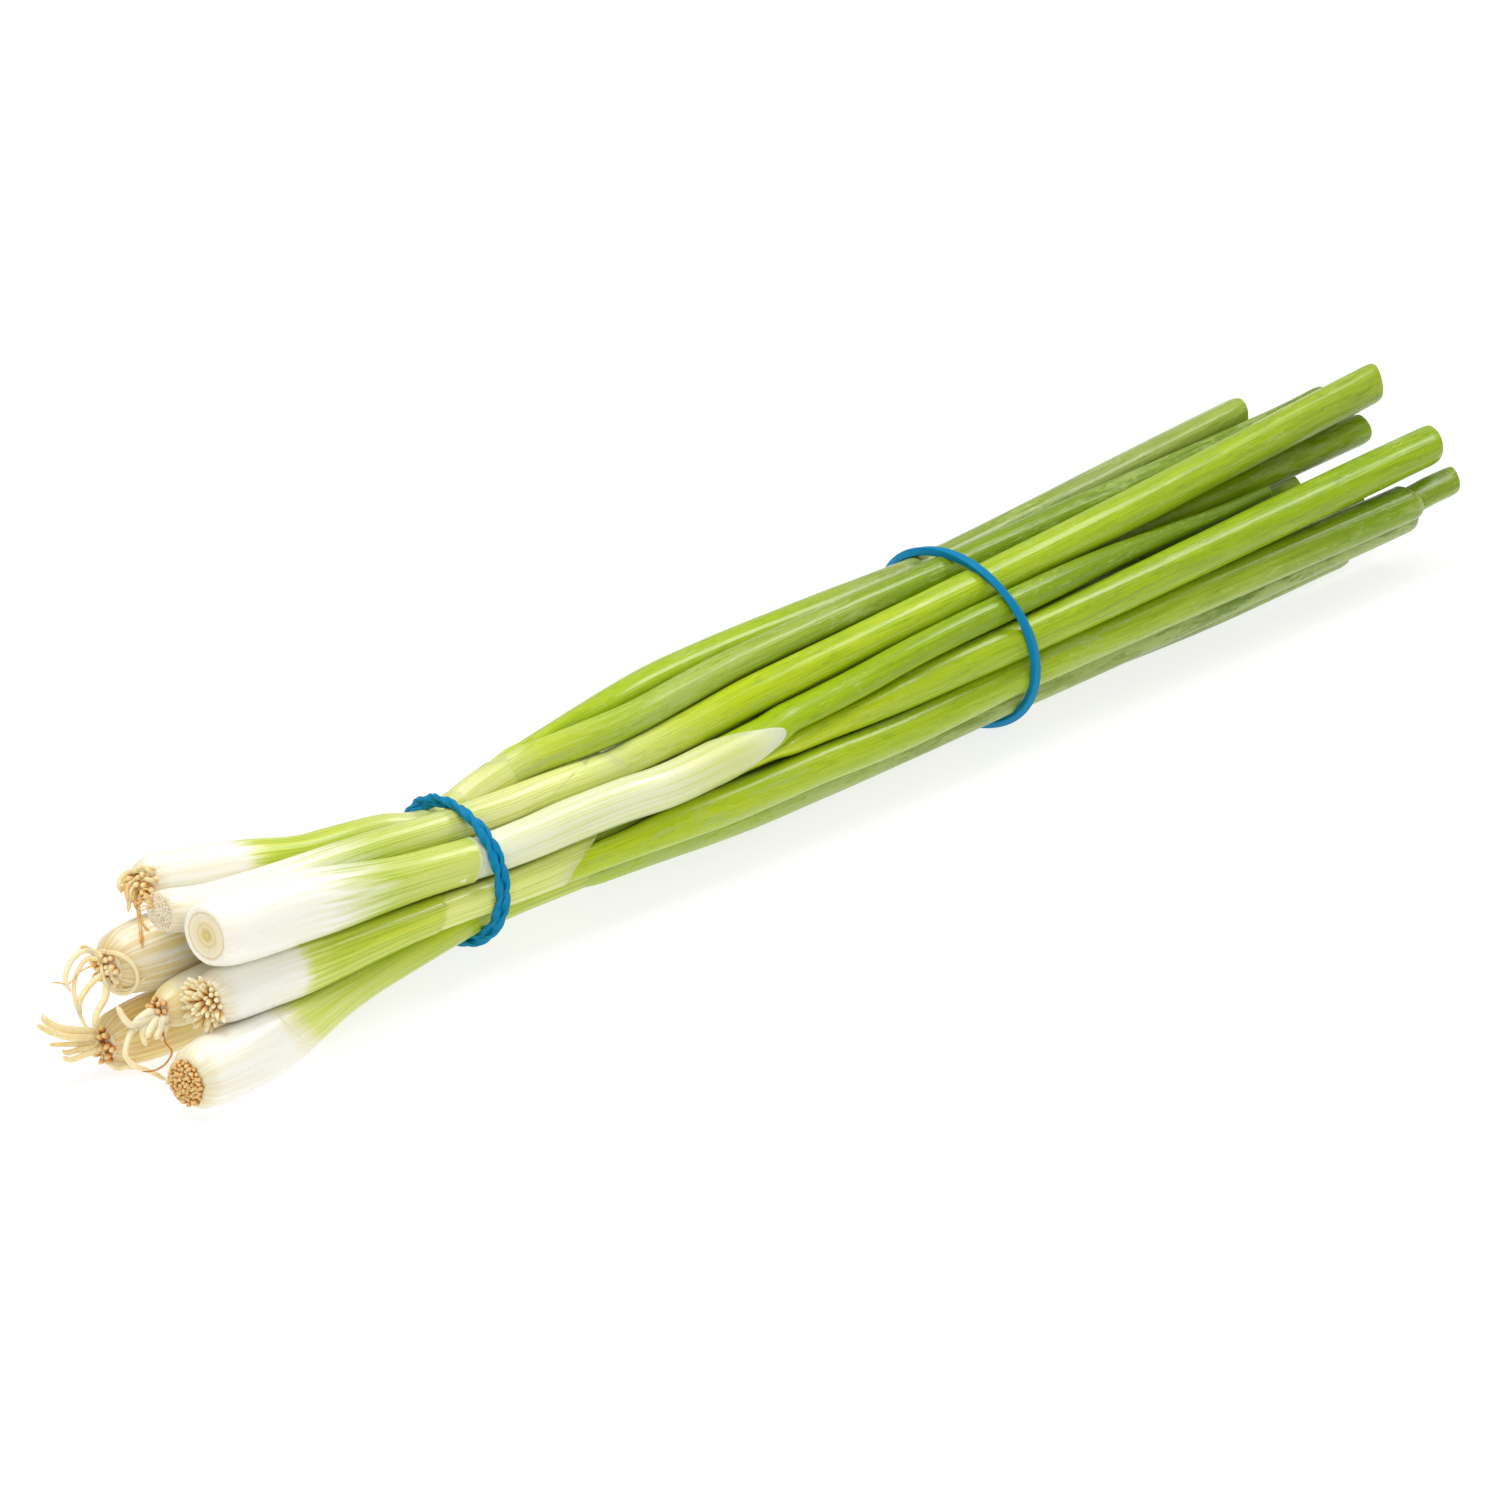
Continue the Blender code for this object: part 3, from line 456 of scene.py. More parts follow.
def onionSkin(onionName, look):
    # Moist onion skin: white, waxy, slightly see-through layers, and fine green veins that begin in streaks
    material, tree = newFinish("moistOnionSkin_" + onionName)
    stem, distance, angle, cut = placeOnStem(tree)
    pale = addNode(tree, "Attribute", attribute_name="pale").node.outputs["Fac"]
    names = ("streak", "hair", "spread", "cloud", "fleck")
    streak, hair, spread, cloud, fleck = drawnOut(tree, stem, skinFinish, *names)
    # From the bulb's end to its sheath's edge the streaks shift the tones along the stem
    lift = addNode(tree, "Math", (streak, 0.5), operation="SUBTRACT")
    uneven = addNode(tree, "Math", (lift, look["streaks"], distance), operation="MULTIPLY_ADD")
    early = addNode(tree, "Math", (distance, look["sheath"]["ends"] - 4.0), operation="LESS_THAN")
    grown = addNode(tree, "MapRange", {"Value": distance, "From Min": 14.0, "From Max": 26.0, "To Max": early})
    along = addNode(tree, "Mix", {"Factor": grown, "A": distance, "B": uneven}, data_type="FLOAT")
    along = addNode(tree, "Math", (along, rampLength), operation="DIVIDE")
    colour, vein = tonesAlong(tree, along, look["skin"])
    turn = addNode(tree, "Math", (spread, 14.0), operation="MULTIPLY")
    turn = addNode(tree, "Math", (angle, skinFinish["veins"], turn), operation="MULTIPLY_ADD")
    comb = addNode(tree, "Math", (turn,), operation="SINE")
    lines = addNode(tree, "Math", (comb, 0.16, streak), operation="MULTIPLY_ADD")
    lines = addNode(tree, "Math", (hair, 0.5, lines), operation="MULTIPLY_ADD")
    stripes = addNode(tree, "MapRange", {"Value": lines, "From Min": 0.58, "From Max": 0.98, "To Max": 0.85},
                      interpolation_type="SMOOTHSTEP")
    colour = addNode(tree, "Mix", {"Factor": stripes, "A": colour, "B": vein}, data_type="RGBA")
    warm = addNode(tree, "MapRange", {"Value": cloud, "From Min": 0.35, "From Max": 0.75, "To Max": 0.08})
    marks = addNode(tree, "MapRange", {"Value": fleck, "From Min": 0.74, "From Max": 0.8, "To Max": look["marks"]})
    milky = addNode(tree, "Math", (hair, 0.6, -0.25), operation="MULTIPLY_ADD")
    milky = addNode(tree, "Math", (pale, milky), operation="ADD")
    milky = addNode(tree, "Math", (milky, pale), operation="MULTIPLY", use_clamp=True)
    rim = addNode(tree, "MapRange", {"Value": cut, "From Min": 0.1, "From Max": 0.5, "To Max": 0.8})
    for share, tone in ((warm, skinFinish["warmTone"]), (marks, skinFinish["fleckTone"]),
                        (milky, skinFinish["milkyTone"]), (rim, look["sheath"]["rim"])):
        colour = addNode(tree, "Mix", {"Factor": share, "A": colour, "B": linearColour(tone)}, data_type="RGBA")
    # The root end: cream tissue, in rings where it is cut clean across
    inward = addNode(tree, "Math", (cut, 1.0), operation="SUBTRACT")
    waver = addNode(tree, "Math", (lift, 0.12, inward), operation="MULTIPLY_ADD")
    disc = addNode(tree, "ValToRGB", {"Fac": waver}, stops=look["disc"])
    onCut = addNode(tree, "Math", (cut, 0.95), operation="GREATER_THAN")
    colour = addNode(tree, "Mix", {"Factor": onCut, "A": colour, "B": disc}, data_type="RGBA")
    height = addNode(tree, "Math", (stripes, -0.3, hair), operation="MULTIPLY_ADD")
    bump = addNode(tree, "Bump", {"Strength": 0.14, "Distance": 0.0002, "Height": height})
    gloss = addNode(tree, "MapRange",
                    {"Value": cloud, "From Min": 0.3, "From Max": 0.7, "To Min": 0.24, "To Max": 0.38})
    finishShader(tree, {
        "Base Color": colour, "Roughness": gloss, "IOR": 1.42, "Subsurface Weight": 0.3,
        "Subsurface Radius": (1.0, 0.85, 0.45), "Subsurface Scale": 0.003, "Coat Weight": 0.2,
        "Coat Roughness": 0.2, "Normal": bump,
    })
    return material


def onionLeaf(name, stops, wax, seed):
    # Fresh green leaf: a smooth satin cuticle with fine veins, powdery wax on it in drawn-out, broken patches, and
    # painted highlights as pale glints in short dashes
    material, tree = newFinish("greenLeafCuticle_" + name)
    stem, distance, angle, cut = placeOnStem(tree)
    own = addNode(tree, "VectorMath", (stem, (seed * 3.1, seed * 1.7, seed * 71.0)), operation="ADD")
    streak, dashes, cloud, mottle = drawnOut(tree, own, leafFinish, "streak", "dashes", "cloud", "mottle")
    along = addNode(tree, "Math", (distance, rampLength), operation="DIVIDE")
    colour, vein = tonesAlong(tree, along, stops)
    turn = addNode(tree, "Math", (angle, leafFinish["veins"]), operation="MULTIPLY")
    comb = addNode(tree, "Math", (turn,), operation="SINE")
    lines = addNode(tree, "Math", (comb, 0.05, streak), operation="MULTIPLY_ADD")
    lines = addNode(tree, "MapRange", {"Value": lines, "From Min": 0.34, "From Max": 0.66, "To Max": 0.8},
                    interpolation_type="SMOOTHSTEP")
    colour = addNode(tree, "Mix", {"Factor": lines, "A": colour, "B": vein}, data_type="RGBA")
    deep = addNode(tree, "MapRange", {"Value": mottle, "From Min": 0.46, "From Max": 0.3, "To Max": 0.4},
                   interpolation_type="SMOOTHSTEP")
    colour = addNode(tree, "Mix", {"Factor": deep, "A": colour, "B": linearColour(leafFinish["deepTone"])},
                     data_type="RGBA", blend_type="MULTIPLY")
    # Wax: patches with ragged edges, and short dashes of it that lie along the leaf
    ragged = addNode(tree, "Math", (mottle, 0.8, cloud), operation="MULTIPLY_ADD")
    ragged = addNode(tree, "Math", (dashes, 0.45, ragged), operation="MULTIPLY_ADD")
    patches = addNode(tree, "MapRange",
                      {"Value": ragged, "From Min": 1.33 - 0.38 * wax, "From Max": 1.52 - 0.38 * wax,
                       "To Max": 0.35 + 0.45 * wax}, interpolation_type="SMOOTHSTEP")
    # Painted highlight: pale glints in short dashes along the leaf, standing in for the lamps' reflection on the
    # glossy cuticle
    paintedGlint = addNode(tree, "Math", (cloud, 0.25, dashes), operation="MULTIPLY_ADD")
    paintedGlint = addNode(tree, "MapRange", {"Value": paintedGlint, "From Min": 0.7, "From Max": 0.86, "To Max": 0.3},
                    interpolation_type="SMOOTHSTEP")
    rim = addNode(tree, "MapRange", {"Value": cut, "From Min": 0.2, "From Max": 0.9})
    inside = addNode(tree, "Math", (cut, 1.5), operation="GREATER_THAN")
    for share, tone in ((patches, "waxTone"), (paintedGlint, "paintedGlintTone"), (rim, "wallTone"), (inside, "insideTone")):
        colour = addNode(tree, "Mix", {"Factor": share, "A": colour, "B": linearColour(leafFinish[tone])},
                         data_type="RGBA")
    height = addNode(tree, "Math", (comb, 0.12, streak), operation="MULTIPLY_ADD")
    height = addNode(tree, "Math", (dashes, 0.5, height), operation="MULTIPLY_ADD")
    bump = addNode(tree, "Bump", {"Strength": 0.3, "Distance": 0.0002, "Height": height})
    gloss = addNode(tree, "MapRange", {"Value": patches, "To Min": 0.24, "To Max": 0.46})
    finishShader(tree, {
        "Base Color": colour, "Roughness": gloss, "IOR": 1.42, "Subsurface Weight": 0.1,
        "Subsurface Radius": (0.6, 1.0, 0.2), "Subsurface Scale": 0.0015, "Specular IOR Level": 0.3,
        "Coat Weight": 0.1, "Coat Roughness": 0.16, "Normal": bump,
    })
    return material


def grainInMm(tree, *scales):
    # Noise patterns on the object's own coordinates, as (scale per mm, detail)
    spot = addNode(tree, "TexCoord").node.outputs["Object"]
    toMm = addNode(tree, "VectorMath", {"Vector": spot, "Scale": 1000.0}, operation="SCALE")
    for scale, detail in scales:
        yield addNode(tree, "TexNoise", {"Vector": toMm, "Scale": scale, "Detail": detail})


def rootFibre():
    # Drying root fibre: cream and slightly see-through where it is thick, tan and brown where it dries first
    material, tree = newFinish("dryingRootFibre")
    grain, fine = grainInMm(tree, (0.9, 4.0), (2.8, 3.0))
    dryness = addNode(tree, "Attribute", attribute_name="dryness").node.outputs["Fac"]
    uneven = addNode(tree, "Math", (grain, 0.5), operation="SUBTRACT")
    shade = addNode(tree, "Math", (uneven, 0.5, dryness), operation="MULTIPLY_ADD")
    colour = addNode(tree, "ValToRGB", {"Fac": shade}, stops=[
        (0.0, "#fbf1d2"), (0.3, "#f5e0aa"), (0.52, "#eac07a"), (0.74, "#cf8b42"), (1.0, "#a05c1e")])
    bump = addNode(tree, "Bump", {"Strength": 0.35, "Distance": 0.0002, "Height": fine})
    finishShader(tree, {
        "Base Color": colour, "Roughness": 0.5, "IOR": 1.45, "Subsurface Weight": 0.3,
        "Subsurface Radius": (1.0, 0.75, 0.45), "Subsurface Scale": 0.0015, "Normal": bump,
    })
    return material


def blueRubber():
    # Cut strips of dyed rubber: satin, with painted shade: darker in the grooves of the twist and lighter on its
    # raised turns
    material, tree = newFinish("satinBlueRubber")
    grain, fine = grainInMm(tree, (1.6, 3.0), (6.0, 2.0))
    # Painted shade and light: the surface's curvature makes the colour darker in the grooves and lighter where it
    # bulges, with a little random grain on top
    grainAndGrooveShade = addNode(tree, "NewGeometry").node.outputs["Pointiness"]
    grainAndGrooveShade = addNode(tree, "MapRange", {"Value": grainAndGrooveShade, "From Min": 0.42, "From Max": 0.58})
    grainAndGrooveShade = addNode(tree, "Math", (grain, 0.25, grainAndGrooveShade), operation="MULTIPLY_ADD")
    colour = addNode(tree, "ValToRGB", {"Fac": grainAndGrooveShade}, stops=[
        (0.25, "#004c72"), (0.55, "#006c98"), (0.9, "#0486b6")])
    bump = addNode(tree, "Bump", {"Strength": 0.15, "Distance": 0.0001, "Height": fine})
    finishShader(tree, {
        "Base Color": colour, "Roughness": 0.5, "IOR": 1.5, "Specular IOR Level": 0.14, "Normal": bump,
    })
    return material


# The onions' stems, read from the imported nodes

def denseRows(stem, start, end):
    x = np.arange(start, end + stemDetail["tableStep"], stemDetail["tableStep"])
    return x, throughKnots(stem["x"], stem["rows"], x)


stems = {}
for onionName in onionLooks:
    for part, sides in stemDetail["solidSides"].items():
        stems[onionName, part] = readStem(onionName + "_" + part, sides)
print("read", len(stems), "stems")


def rowAt(stem, x):
    return throughKnots(stem["x"], stem["rows"], np.array([x]))[0]


def pointsAt(stem, x):
    row = rowAt(stem, x)
    return row[:2] + ways * row[2:, None]


def foldLength(onionName):
    return stemDetail["foldSpare"] - onionLooks[onionName]["tongue"]["base"]


def foldedRow(shank, leaf, other, x):
    # Before the collar the two leaves lie pressed together in the shank, and each fills its own side of it
    row = rowAt(shank, x)
    mine, theirs, shankEnd = leaf["rows"][0][:2], other["rows"][0][:2], shank["rows"][-1][:2]
    side = (mine - theirs) / np.linalg.norm(mine - theirs)
    outline = row[:2] + ways * (row[2:] - stemDetail["foldInset"])[:, None]
    depth = (outline - (row[:2] + (mine + theirs) / 2 - shankEnd)) @ side
    half = outline - side * np.minimum(depth, 0.0)[:, None]
    middle = half.mean(axis=0)
    return np.concatenate([middle, longWaves(reachOf(half, middle), 11, 5)])


def leafTable(onionName, part):
    leaf = stems[onionName, part]
    other = stems[onionName, "leaf_b" if part == "leaf_a" else "leaf_a"]
    shank = stems[onionName, "bulb_and_shank"]
    start = leaf["x"][0]
    x, rows = denseRows(leaf, start, leaf["x"][-1] + 2.5)
    before = start - np.arange(foldLength(onionName), 0.0, -stemDetail["tableStep"])
    folded = np.array([foldedRow(shank, leaf, other, here) for here in before])
    share = smoothStep((before - start + 9.0) / 9.0)[:, None]
    folded = folded * (1 - share) + rows[0] * share
    return {"start": before[0], "rows": np.vstack([folded, rows])}


def shankTable(onionName):
    # The shank's own outlines, and past the collar the wrap round its two leaves
    shank = stems[onionName, "bulb_and_shank"]
    leaves = [stems[onionName, "leaf_a"], stems[onionName, "leaf_b"]]
    collar = shank["x"][-1]
    x, rows = denseRows(shank, shank["x"][0], collar)
    beyond = []
    for k in range(1, int(stemDetail["wrapReach"] / stemDetail["tableStep"])):
        here = x[-1] + stemDetail["tableStep"] * k
        both = np.vstack([pointsAt(leaf, here) for leaf in leaves])
        middle = np.mean([rowAt(leaf, here)[:2] for leaf in leaves], axis=0)
        reach = softened(reachOf(both, middle), 1.6) + stemDetail["wrapGap"]
        beyond.append(np.concatenate([middle, reach]))
    rows = np.vstack([rows, beyond])
    # Soften the change from the shank's outline to the wrap
    seam = len(x)
    kernel = np.exp(-(np.arange(-8, 9) / 4.0) ** 2)
    kernel /= kernel.sum()
    soft = rows.copy()
    for k in range(seam - 12, seam + 12):
        soft[k] = (rows[k - 8:k + 9] * kernel[:, None]).sum(axis=0)
    return {"start": x[0], "rows": soft}, collar


def buildShank(onionName, look, seed):
    table, collar = shankTable(onionName)
    rootX = table["start"]
    sheath, tongue = look["sheath"], look["tongue"]
    edge = sheath["ends"]
    lean = sheath["lean"] * np.cos(turnOf - math.radians(sheath["towards"]))
    edgeShift = lean + sheath["ragged"] * gentleWave(seed, turnOf, 9)
    reachOut = 0.5 + 0.5 * np.cos(turnOf - math.radians(tongue["towards"]))
    endShift = tongue["base"] + tongue["length"] * reachOut ** tongue["sharp"]
    endShift = endShift + tongue["ragged"] * gentleWave(seed + 50, turnOf, 12)
    length = collar - rootX
    tailLength = max(12.0, 2.2 * float(np.abs(endShift).max()))
    paleAt, paleWidth, paleTowards, paleShare = look["pale"]
    paleSide = smoothStep(0.35 + 0.9 * np.cos(turnOf - math.radians(paleTowards)))
    rings = []
    # The root end: cut clean with fine rings, or domed where roots grow from it
    clean = look["disc"] is cleanDisc
    for share in np.linspace(0.05, 0.98, 20):
        ring = skinPoints(table, rootX + 0.05, 0.0, look["endRim"] * share)
        if clean:
            ring[:, 0] = rootX + 0.3 * (1 - share) + 0.09 * math.cos(share * 30.0)
        else:
            ring[:, 0] = rootX - 0.7 * (1 - share**2)
        addRing(rings, ring, 0.0, 2.0 - share)
    # The skin rolls in towards the root end, and the outer sheath ends as a small step
    rollIn = 1.0 if clean else 3.2
    fine = [edge - 2.0, edge - 0.9, edge - 0.35, edge, edge + 0.06, edge + 0.5, edge + 1.3]
    coarse = [s for s in np.arange(4.5, length, stemDetail["ringStep"]) if abs(s - edge) > 2.4]
    for s in sorted([0.0, 0.1, 0.3, 0.6, 1.0, 1.5, 2.1, 2.8, 3.6] + coarse + fine + [length - 0.4]):
        window = math.exp(-((s - edge) / 7.0) ** 2)
        tail = float(smoothStep((s - (length - tailLength)) / tailLength))
        x = rootX + s + edgeShift * window + endShift * tail
        drop = 0.0 if s <= edge else sheath["step"] * math.exp(-(s - edge - 0.06) / 22.0)
        rounded = math.sqrt(max(0.0, 1 - (1 - min(1.0, s / rollIn)) ** 2))
        ring = skinPoints(table, x, drop, look["endRim"] + (1 - look["endRim"]) * rounded)
        distance = s + endShift * tail
        milky = paleSide * paleShare * np.exp(-((distance - paleAt) / paleWidth) ** 2)
        addRing(rings, ring, distance, 0.5 if s == edge else 0.0, milky)
    # The sheath ends over the leaves with an uneven edge, and turns back inside
    wall = stemDetail["sheathWall"]
    for back, inset, cutShare in ((0.0, 0.0, 0.3), (0.0, wall, 0.4), (1.5, 0.22, 0.4), (4.0, 0.9, 0.0)):
        x = collar + endShift - back
        milky = paleSide * paleShare * np.exp(-((x - rootX - paleAt) / paleWidth) ** 2)
        addRing(rings, skinPoints(table, x, inset), x - rootX, cutShare, milky)
    addRing(rings, skinPoints(table, collar - foldLength(onionName) - 2.0, 1.4), length, 0.0)
    return skinObject(onionName + "_stem", rings), table


def buildLeaf(onionName, part, look, seed):
    stemRead = stems[onionName, part]
    table = leafTable(onionName, part)
    start, end = stemRead["x"][0] - foldLength(onionName), stemRead["x"][-1]
    ownLook = look if part == "leaf_a" else commonLook
    taperLength, taperShare = ownLook["taper"]
    sleeveAt, sleeveShare = ownLook["sleeve"]
    rootX = stems[onionName, "bulb_and_shank"]["x"][0]
    sleeveX = rootX + sleeveAt
    ridges = 1 + 0.012 * gentleWave(seed, turnOf, 4) + 0.006 * gentleWave(seed + 9, turnOf, 9)
    rings = []
    # The hidden foot inside the shank
    for back, scale in ((2.0, 0.45), (1.0, 0.8)):
        ring = skinPoints(table, start, 0.0, scale)
        ring[:, 0] = start - back
        addRing(rings, ring, start - back - rootX, 0.0)
    stations = [x for x in np.arange(start, end - 2.0, stemDetail["ringStep"]) if abs(x - sleeveX) > 2.0]
    if sleeveX < end:
        stations += [sleeveX - 1.2, sleeveX - 0.4, sleeveX, sleeveX + 0.02, sleeveX + 0.8]
    for x in sorted(stations + [end - 2.0, end - 1.2, end - 0.7, end - 0.3]):
        fold = 0.02 * math.sin(x / 17.0 + seed)
        tuck = sleeveShare if x > sleeveX else 1.0
        tuck *= 1 - (1 - taperShare) * float(smoothStep((x - end + taperLength) / taperLength))
        lip = 1 - 0.05 * max(0.0, (x - end + 2.0) / 2.0) ** 2
        angular = 0.045 * float(smoothStep((x - end + 80.0) / 80.0)) * np.cos(3 * turnOf + 2.0 * seed)
        ring = skinPoints(table, x, 0.0, ridges * (1 + fold * np.cos(2 * turnOf + seed) + angular) * tuck * lip)
        slant = float(smoothStep((x - (end - 9.0)) / 9.0)) * stemRead["slope"]
        if abs(x - sleeveX) < 0.1:
            slant = -0.35
        elif x > sleeveX:
            ring[:, 2] += 0.5 * float(smoothStep((x - sleeveX) / 9.0))
        ring[:, 0] = x + slant * (ring[:, 1] - ring[:, 1].mean())
        addRing(rings, ring, x - rootX, 0.7 if x == sleeveX else 0.0)
    wall, lip = stemDetail["leafWall"], 0.95 * taperShare * (sleeveShare if end > sleeveX else 1.0)
    lip = lip * (1 + 0.045 * np.cos(3 * turnOf + 2.0 * seed))
    lift = 0.5 if end > sleeveX else 0.0
    # Over the cut's rounded edge and back along the hollow inside
    over = [(0.0, 0.0, 0.3), (0.08, -0.08, 1.0), (wall * 0.5, -0.1, 1.0), (wall - 0.08, -0.06, 1.0)]
    inside = [(wall, back, 2.0) for back in (0.04, 2.0, 8.0, 20.0, stemDetail["hollowDepth"])]
    for inset, back, cutShare in over + inside:
        ring = skinPoints(table, end - max(back, 0.0), inset, ridges * lip)
        ring[:, 2] += lift
        slope = stemRead["slope"] * (1 - smoothStep(max(back, 0.0) / 9.0))
        ring[:, 0] = end - back + slope * (ring[:, 1] - ring[:, 1].mean())
        addRing(rings, ring, end - back - rootX, cutShare)
    return skinObject(onionName + "_" + part + "_skin", rings)


shankTables = {}
for number, (onionName, look) in enumerate(onionLooks.items()):
    shank, shankTables[onionName] = buildShank(onionName, look, number)
    place(shank, onionName + "_bulb_and_shank", "onion_bulb", onionSkin(onionName, look))
    for side, part in enumerate(("leaf_a", "leaf_b")):
        leaf = buildLeaf(onionName, part, look, 10 * number + side)
        finish = onionLeaf(onionName + "_" + part, look[part], look["wax"][side], number + 8 * side)
        place(leaf, onionName + "_" + part, "onion_leaf", finish)
print("made the onions")


# Geometry Nodes that draw a round fibre or strip along each path

def newNodesTree(name, inputs):
    # A tree with named inputs, and its inputs' sockets
    tree = bpy.data.node_groups.new(name, "GeometryNodeTree")
    tree.interface.new_socket("Geometry", in_out="INPUT", socket_type="NodeSocketGeometry")
    for label, (kind, value) in inputs.items():
        socket = tree.interface.new_socket(label, in_out="INPUT", socket_type="NodeSocket" + kind)
        if value is not None:
            socket.default_value = value
    tree.interface.new_socket("Geometry", in_out="OUTPUT", socket_type="NodeSocketGeometry")
    return tree, addNode(tree, "NodeGroupInput").node.outputs


def finishTree(tree, geometry, material):
    smooth = addNode(tree, "GeometryNodeSetShadeSmooth", {"Geometry": geometry})
    realized = addNode(tree, "GeometryNodeRealizeInstances", {"Geometry": smooth})
    painted = addNode(tree, "GeometryNodeSetMaterial", {"Geometry": realized, "Material": material})
    output = tree.nodes.new("NodeGroupOutput")
    tree.links.new(painted, output.inputs[0])
    return tree


def fibreTree():
    # Each line of the mesh becomes a tube whose thickness comes with its points
    tree, given = newNodesTree("fibreAlongPath", {
        "Thickness": ("Float", 1.0), "Sides": ("Int", 10), "Material": ("Material", None),
    })
    curve = addNode(tree, "GeometryNodeMeshToCurve", {"Mesh": given["Geometry"]})
    thick = addNode(tree, "GeometryNodeInputNamedAttribute", {"Name": "thick"}, data_type="FLOAT")
    scaled = addNode(tree, "Math", (thick, given["Thickness"]), operation="MULTIPLY")
    profile = addNode(tree, "GeometryNodeCurvePrimitiveCircle", {"Resolution": given["Sides"], "Radius": 1.0})
    swept = addNode(tree, "GeometryNodeCurveToMesh",
                    {"Curve": curve, "Profile Curve": profile, "Scale": scaled, "Fill Caps": True})
    return finishTree(tree, swept, given["Material"])


def stripTree():
    # A closed path becomes a strip of rubber with a rounded rectangular section, twisted as it goes
    tree, given = newNodesTree("rubberAlongPath", {
        "Width": ("Float", 0.0014), "Height": ("Float", 0.0011), "Turns": ("Float", 0.0),
        "Rounding": ("Float", 0.0003), "Material": ("Material", None),
    })
    curve = addNode(tree, "GeometryNodeMeshToCurve", {"Mesh": given["Geometry"]})
    share = addNode(tree, "GeometryNodeSplineParameter")
    full = addNode(tree, "Math", (given["Turns"], 2 * math.pi), operation="MULTIPLY")
    tilt = addNode(tree, "Math", (share, full), operation="MULTIPLY")
    turned = addNode(tree, "GeometryNodeSetCurveTilt", {"Curve": curve, "Tilt": tilt})
    square = addNode(tree, "GeometryNodeCurvePrimitiveQuadrilateral",
                     {"Width": given["Width"], "Height": given["Height"]})
    edged = addNode(tree, "GeometryNodeFilletCurve",
                    {"Curve": square, "Count": 3, "Radius": given["Rounding"], "Limit Radius": True}, mode="POLY")
    swept = addNode(tree, "GeometryNodeCurveToMesh", {"Curve": turned, "Profile Curve": edged})
    return finishTree(tree, swept, given["Material"])


def stubTree():
    # Short root stubs on a domed round plate, set out by the golden angle, leaning outwards, drier at their feet
    tree, given = newNodesTree("stubsOnPlate", {
        "Count": ("Int", 25), "Plate radius": ("Float", 0.003), "Dome": ("Float", 0.0007),
        "Length": ("Float", 0.0015), "Width": ("Float", 0.0007), "Spread": ("Float", 0.8),
        "Dryness": ("Float", 0.3), "Seed": ("Int", 1), "Material": ("Material", None),
    })
    index = addNode(tree, "GeometryNodeInputIndex")
    half = addNode(tree, "Math", (index, 0.5), operation="ADD")
    area = addNode(tree, "Math", (half, given["Count"]), operation="DIVIDE")
    share = addNode(tree, "Math", (area,), operation="SQRT")
    turn = addNode(tree, "Math", (index, math.pi * (3 - math.sqrt(5))), operation="MULTIPLY")
    across = addNode(tree, "Math", (turn,), operation="COSINE")
    upward = addNode(tree, "Math", (turn,), operation="SINE")
    side = addNode(tree, "CombineXYZ", (0.0, across, upward))
    out = addNode(tree, "VectorMath", {"Vector": side, "Scale": share}, operation="SCALE")
    spot = addNode(tree, "VectorMath", {"Vector": out, "Scale": given["Plate radius"]}, operation="SCALE")
    crown = addNode(tree, "Math", (area, 1.0), operation="SUBTRACT")
    crown = addNode(tree, "Math", (crown, given["Dome"]), operation="MULTIPLY")
    crown = addNode(tree, "CombineXYZ", {"X": crown})
    spot = addNode(tree, "VectorMath", (spot, crown), operation="ADD")
    points = addNode(tree, "GeometryNodePoints", {"Count": given["Count"], "Position": spot})
    jitter = addNode(tree, "FunctionNodeRandomValue",
                     {"Min": (-0.3, -0.35, -0.35), "Max": (0.3, 0.35, 0.35), "Seed": given["Seed"]},
                     data_type="FLOAT_VECTOR")
    leaning = addNode(tree, "VectorMath", {"Vector": out, "Scale": given["Spread"]}, operation="SCALE")
    forward = addNode(tree, "VectorMath", (leaning, (-1.0, 0.0, 0.0)), operation="ADD")
    heading = addNode(tree, "VectorMath", (forward, jitter), operation="ADD")
    turnTo = addNode(tree, "FunctionNodeAlignRotationToVector", {"Vector": heading}, axis="Z")
    size = addNode(tree, "FunctionNodeRandomValue",
                   {"Min": 0.65, "Max": 1.25, "Seed": given["Seed"]}, data_type="FLOAT")
    tall = addNode(tree, "Math", (given["Length"], size), operation="MULTIPLY")
    scale = addNode(tree, "CombineXYZ", (given["Width"], given["Width"], tall))
    bead = addNode(tree, "GeometryNodeMeshUVSphere", {"Segments": 10, "Rings": 8, "Radius": 1.0})
    raised = addNode(tree, "GeometryNodeTransform", {"Geometry": bead, "Translation": (0.0, 0.0, 0.6)})
    here = addNode(tree, "GeometryNodeInputPosition")
    height = addNode(tree, "SeparateXYZ", (here,)).node.outputs["Z"]
    foot = addNode(tree, "MapRange",
                   {"Value": height, "From Min": 0.1, "From Max": 1.4, "To Min": 0.62, "To Max": 0.0})
    dried = addNode(tree, "Math", (foot, given["Dryness"]), operation="ADD")
    marked = addNode(tree, "GeometryNodeStoreNamedAttribute",
                     {"Geometry": raised, "Name": "dryness", "Value": dried}, data_type="FLOAT", domain="POINT")
    stubs = addNode(tree, "GeometryNodeInstanceOnPoints",
                    {"Points": points, "Instance": marked, "Rotation": turnTo, "Scale": scale})
    return finishTree(tree, addNode(tree, "GeometryNodeRealizeInstances", {"Geometry": stubs}), given["Material"])


